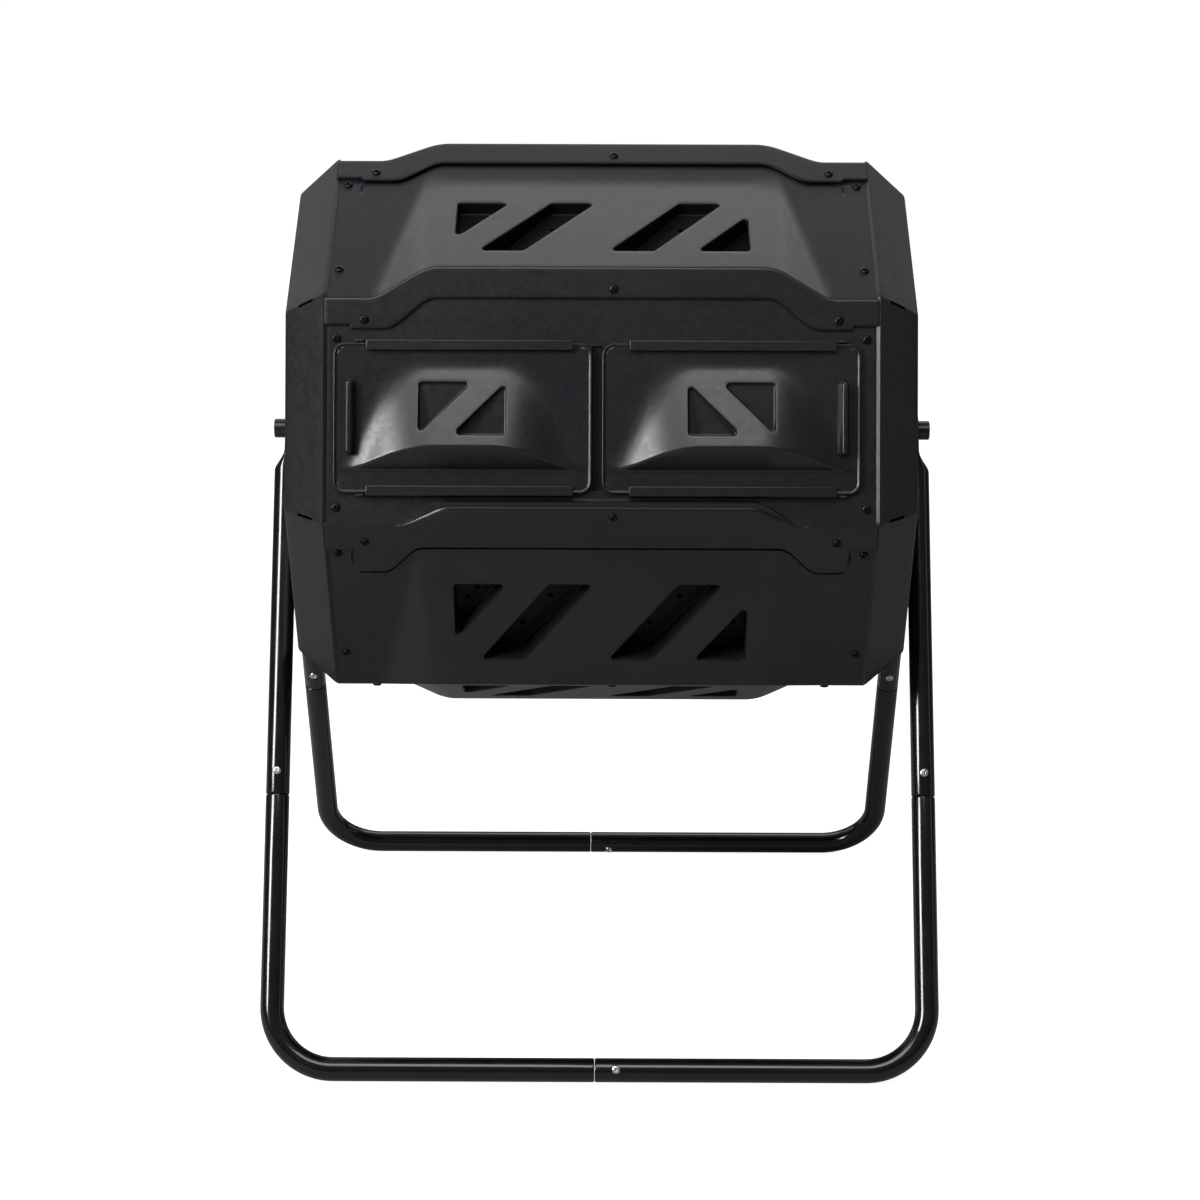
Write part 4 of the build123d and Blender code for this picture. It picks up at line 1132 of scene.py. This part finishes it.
def cut(piece, shape):
    """Cuts a closed shape out of a piece, applies the result and removes the cutter."""
    mesh = bpy.data.meshes.new("slots")
    mesh.from_pydata([Vector(p) * MM for p in shape.points], [], shape.faces)
    mesh.validate()
    modifier = piece.modifiers.new("cut", "BOOLEAN")
    modifier.operation = "DIFFERENCE"
    modifier.solver = "EXACT"
    modifier.object = added("slots", mesh)
    graph = bpy.context.evaluated_depsgraph_get()
    result = bpy.data.meshes.new_from_object(piece.evaluated_get(graph))
    bpy.data.objects.remove(modifier.object)
    piece.modifiers.clear()
    piece.data = result


cap_shape, slots = cap_skin(), slot_cutters()
for side, hand in reversed(HANDS):
    if side < 0:
        cap_shape, slots = cap_shape.mirrored(), slots.mirrored()
    cap = build(f"end_cap_{hand}_skin", cap_shape, Matrix(), "barrel", CAP_PLASTIC)
    cut(thicken(cap), slots)
    cap.data.set_sharp_from_angle(angle=radians(35))
    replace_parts(cap, f"end_cap_{hand}")


# ---- screws ----
def cross_depth(x, y):
    """Depth of a cross recess at a point of a screw's head."""
    x, y = abs(x), abs(y)
    arms = [smooth(0.75, 0.45, a) * smooth(2.5, 2.1, b) for a, b in ((y, x), (x, y))]
    return HEAD_CROSS * max(*arms, smooth(1.3, 0.9, hypot(x, y)))


def pan_head(turn):
    """A domed head with a cross recess, standing on z = 0."""
    shape = Shape()
    profile = [(HEAD_RADIUS - 0.3, 0.0), (HEAD_RADIUS, 0.35), (HEAD_RADIUS, 0.8)]
    profile += [(HEAD_RADIUS * cos(a), 0.8 + 1.8 * sin(a)) for a in (0.3, 0.6, 0.85)]
    for r in (2.75, 2.45, 2.2, 1.9, 1.5, 1.2, 0.95, 0.7, 0.4):
        profile.append((r, 0.8 + 1.8 * sqrt(1 - (r / HEAD_RADIUS) ** 2)))
    angles = [2 * pi * i / HEAD_TURNS for i in range(HEAD_TURNS)]
    rows = []
    for r, z in profile:
        rows.append(shape.row(
            (r * cos(a + turn), r * sin(a + turn), z - cross_depth(r * cos(a), r * sin(a)))
            for a in angles
        ))
    shape.rings(rows)
    tip = shape.row([(0, 0, HEAD_HEIGHT - HEAD_CROSS)])
    shape.faces += [(a, b, *tip) for a, b in pairs(rows[-1])]
    shape.cap(rows[0], flip=True)
    return shape


def screw_heads(node, spots, body, material):
    """Heads at the given matrices, as one piece that stands for the node's screws."""
    shape = Shape()
    for i, spot in enumerate(spots):
        shape.add(pan_head(0.7 * i), spot)
    name = node.replace("screws", "screw_heads")
    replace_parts(build(name, shape, Matrix(), body, material, 45), node)


seam_spots = []
for place in range(SIDES):
    rise, drop = (LIP_RISE, 13.0) if place == SIDES - 1 else (WEDGE_RISE, 24.0)
    spots = [(x, HALF_SIDE - 24.0) for x in (-SEAM_SCREW_X, SEAM_SCREW_X)]
    spots.append((MIDDLE_SCREW_X, HALF_SIDE + rise * sqrt(2) - drop))
    plane = side_matrix(place, FLANGE_LIFT)
    seam_spots += [plane @ Matrix.Translation((x, v, 0)) for x, v in spots]
screw_heads("seam_screws", seam_spots, "barrel", BLACK_SCREW)
for side, hand in HANDS:
    end_spots = [
        side_matrix(place) @ Matrix.Translation((side * END_SCREW_X, v, 0))
        for place in range(SIDES)
        for v in (END_SCREW_RISE, -END_SCREW_RISE if place else DOOR_END_SCREW_BOTTOM)
    ]
    screw_heads(f"end_screws_{hand}", end_spots, "barrel", BLACK_SCREW)


# ---- stand ----
def leg_matrix(way):
    """Plane of a U-frame: x across, y down the legs from the axle, z out of the plane."""
    z = Vector((0, cos(LEG_ANGLE), way * sin(LEG_ANGLE)))
    turn = Matrix((ALONG, z.cross(ALONG), z)).transposed().to_4x4()
    return Matrix.Translation((0, 0, PIVOT_HEIGHT)) @ turn


def tube(stations):
    """Closed tube through stations of (centre, sideways direction, half sizes)."""
    shape = Shape()
    angles = [2 * pi * i / TUBE_TURNS for i in range(TUBE_TURNS)]
    rows = []
    for centre, across, a, b in stations:
        centre, across = Vector(centre), Vector(across)
        rows.append(shape.row(
            centre + across * (a * cos(t)) + Vector((0, 0, b * sin(t))) for t in angles
        ))
    shape.rings(rows)
    shape.cap(rows[0], flip=True)
    shape.cap(rows[-1])
    return shape


def station(x, down, a=TUBE_RADIUS, b=TUBE_RADIUS, across=(1, 0, 0)):
    """One cross-section of a tube in the plane of its U-frame."""
    return ((x, down, 0), across, a, b)


def rounded_end(at, direction, across, closing):
    """Stations that round off a tube's start, or its end if closing."""
    stations = []
    for i in range(5):
        s, c = sin(pi / 2 * i / 4), cos(pi / 2 * i / 4)
        inset = TUBE_ROUND * (1 - c if closing else 1 - s)
        shift = TUBE_ROUND * s - TUBE_ROUND if closing else TUBE_ROUND * (1 - c)
        r = TUBE_RADIUS - inset
        stations.append((Vector(at) + Vector(direction) * shift, across, r, r))
    return stations


def upper_leg(x):
    """Leg tube with a flattened, round-ended eye at the axle."""
    stations = []
    for i in range(11):
        angle = pi / 2 * i / 10
        thick = PLATE_THICKNESS / 2 * (0.55 if i == 0 else 1.0)
        half = max(PLATE_HALF * sin(angle), 0.4)
        stations.append(station(x, -PLATE_HALF * cos(angle), thick, half))
    for i in range(9):
        t = smooth(0, 1, i / 8)
        thick, half = mix(PLATE_THICKNESS / 2, TUBE_RADIUS, t), mix(PLATE_HALF, TUBE_RADIUS, t)
        stations.append(station(x, mix(FLAT_END, ROUND_START, i / 8), thick, half))
    stations += [station(x, down) for down in (120, 240, 330)]
    return tube(stations + rounded_end((x, LEG_JOINT - JOINT_GAP, 0), (0, 1, 0), (1, 0, 0), True))


def lower_leg(x, bar_x):
    """Lower leg and its half of the foot bar, one bent tube."""
    side = 1 if x > 0 else -1
    start = LEG_LENGTH - FOOT_BEND
    across = (0, side, 0)
    stations = rounded_end((x, LEG_JOINT + JOINT_GAP, 0), (0, 1, 0), (1, 0, 0), False)
    stations += [station(x, mix(LEG_JOINT, start, share)) for share in (0.3, 0.6, 0.9)]
    for i in range(21):
        s, c = sin(pi / 2 * i / 20), cos(pi / 2 * i / 20)
        centre_x, down = x - side * FOOT_BEND * (1 - c), start + FOOT_BEND * s
        stations.append(station(centre_x, down, across=(c, side * s, 0)))
    for share in (0.3, 0.6, 0.9):
        along = mix(x - side * FOOT_BEND, bar_x, share)
        stations.append(station(along, LEG_LENGTH, across=across))
    end = (bar_x + side * JOINT_GAP, LEG_LENGTH, 0)
    return tube(stations + rounded_end(end, (-side, 0, 0), across, True))


for end, way, leg_x, bar_x in (("front", -1, 343.5, -5.0), ("rear", 1, 339.5, -13.0)):
    place = leg_matrix(way)
    for side, hand in HANDS:
        for level, shape in (
            ("upper", upper_leg(side * leg_x)),
            ("lower", lower_leg(side * leg_x, bar_x)),
        ):
            node = f"{level}_leg_{end}_{hand}"
            leg = build(f"{node}_tube", shape, place, "stand", POWDER_COAT, 50)
            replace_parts(leg, node)
    spots = [(-leg_x, LEG_SCREW), (leg_x, LEG_SCREW), (bar_x + BAR_SCREW_OFFSET, LEG_LENGTH)]
    over = Matrix.Rotation(pi, 4, "X")
    matrices = [
        place @ Matrix.Translation((x, down, -TUBE_RADIUS + 0.4)) @ over for x, down in spots
    ]
    screw_heads(f"stand_screws_{end}", matrices, "stand", ZINC)

# ---- CAD pieces that keep their shape ----
FINISH = {"seam_nuts": ZINC, "centre_divider": CHARCOAL, "axle_tube": POWDER_COAT}
for _, hand in HANDS:
    FINISH |= {f"{part}_{hand}": NYLON for part in ("hub_bush", "axle_spacer", "axle_cap")}
    FINISH |= {f"{part}_{hand}": ZINC for part in ("axle_washer", "end_nuts")}
for name, material in FINISH.items():
    node = frame["nodes"][name]
    for holder in node.material_slots:
        holder.material = material
    if not node.material_slots:
        node.data.materials.append(material)

# ---- floor, light and camera ----
floor_mesh = bpy.data.meshes.new("floor")
corners = [(x, y, 0) for x, y in rectangle(-FLOOR, FLOOR, -FLOOR, FLOOR)]
floor_mesh.from_pydata(corners, [], [(0, 1, 2, 3)])
floor = added("floor", floor_mesh)
# the camera sees floor and backdrop as white, while the plastic mirrors a dim studio
pale = Graph(bpy.data.materials.new("pale_floor"))
seen = pale.add("LightPath", "Is Camera Ray")
floor_mesh.materials.append(pale.surface({
    "Base Color": (0.35, 0.35, 0.35, 1),
    "Roughness": 0.9,
    "Specular IOR Level": 0.1,
    "Emission Color": (1, 1, 1, 1),
    "Emission Strength": pale.ramp(seen, 0, 1, 0, 0.94),
}))

world = bpy.data.worlds.new("studio")
bpy.context.scene.world = world
sky = Graph(world)
split = sky.add("SeparateXYZ", "Z", {"Vector": sky.add("TexCoord", "Generated")})
seen = sky.add("LightPath", "Is Camera Ray")
inputs = {"Factor": seen, "A": sky.ramp(split, 0.0, 1.0, 0.05, 0.22), "B": 1.05}
strength = sky.add("Mix", "Result", inputs)
sky.fill(sky.nodes["Background"], {"Color": (0.97, 0.98, 1.0, 1), "Strength": strength})
bpy.context.scene.view_settings.view_transform = "Standard"


def softbox(name, place, size, radiance, tone=(1, 1, 1)):
    """A rectangular soft light that faces the barrel, given by its surface radiance."""
    light = bpy.data.lights.new(name, "AREA")
    light.shape = "RECTANGLE"
    light.size, light.size_y = size
    light.energy = radiance * size[0] * size[1] * pi
    light.color = tone
    lamp = added(name, light)
    lamp.location = place
    lamp.rotation_euler = (Vector(AIM) - Vector(place)).to_track_quat("-Z", "Y").to_euler()


softbox("back_top", (0.0, 2.8, 3.4), (4.6, 2.0), 1.6, (0.95, 0.98, 1.0))
softbox("front_top", (-0.6, -1.85, 3.6), (3.2, 1.4), 4.4)
softbox("left_key", (-3.0, -2.4, 2.3), (1.1, 1.7), 24.0, (1.0, 0.99, 0.97))
softbox("left_back", (-3.2, 2.6, 2.2), (2.4, 2.0), 0.6)
softbox("right_back", (3.2, 2.6, 2.2), (2.4, 2.0), 0.4)
softbox("right_edge", (3.6, -0.6, 1.4), (0.4, 2.2), 0.8)

camera_data = bpy.data.cameras.new("camera")
camera_data.sensor_width = 36.0
camera_data.lens = 89.07
camera = added("camera", camera_data)
camera.matrix_world = (
    Matrix.Translation((0.0069, -3.1585, 1.3724))
    @ Matrix.Rotation(radians(YAW), 4, "Z")
    @ Matrix.Rotation(radians(90 + PITCH), 4, "X")
    @ Matrix.Rotation(radians(ROLL), 4, "Z")
)
bpy.context.scene.camera = camera

bpy.context.view_layer.update()
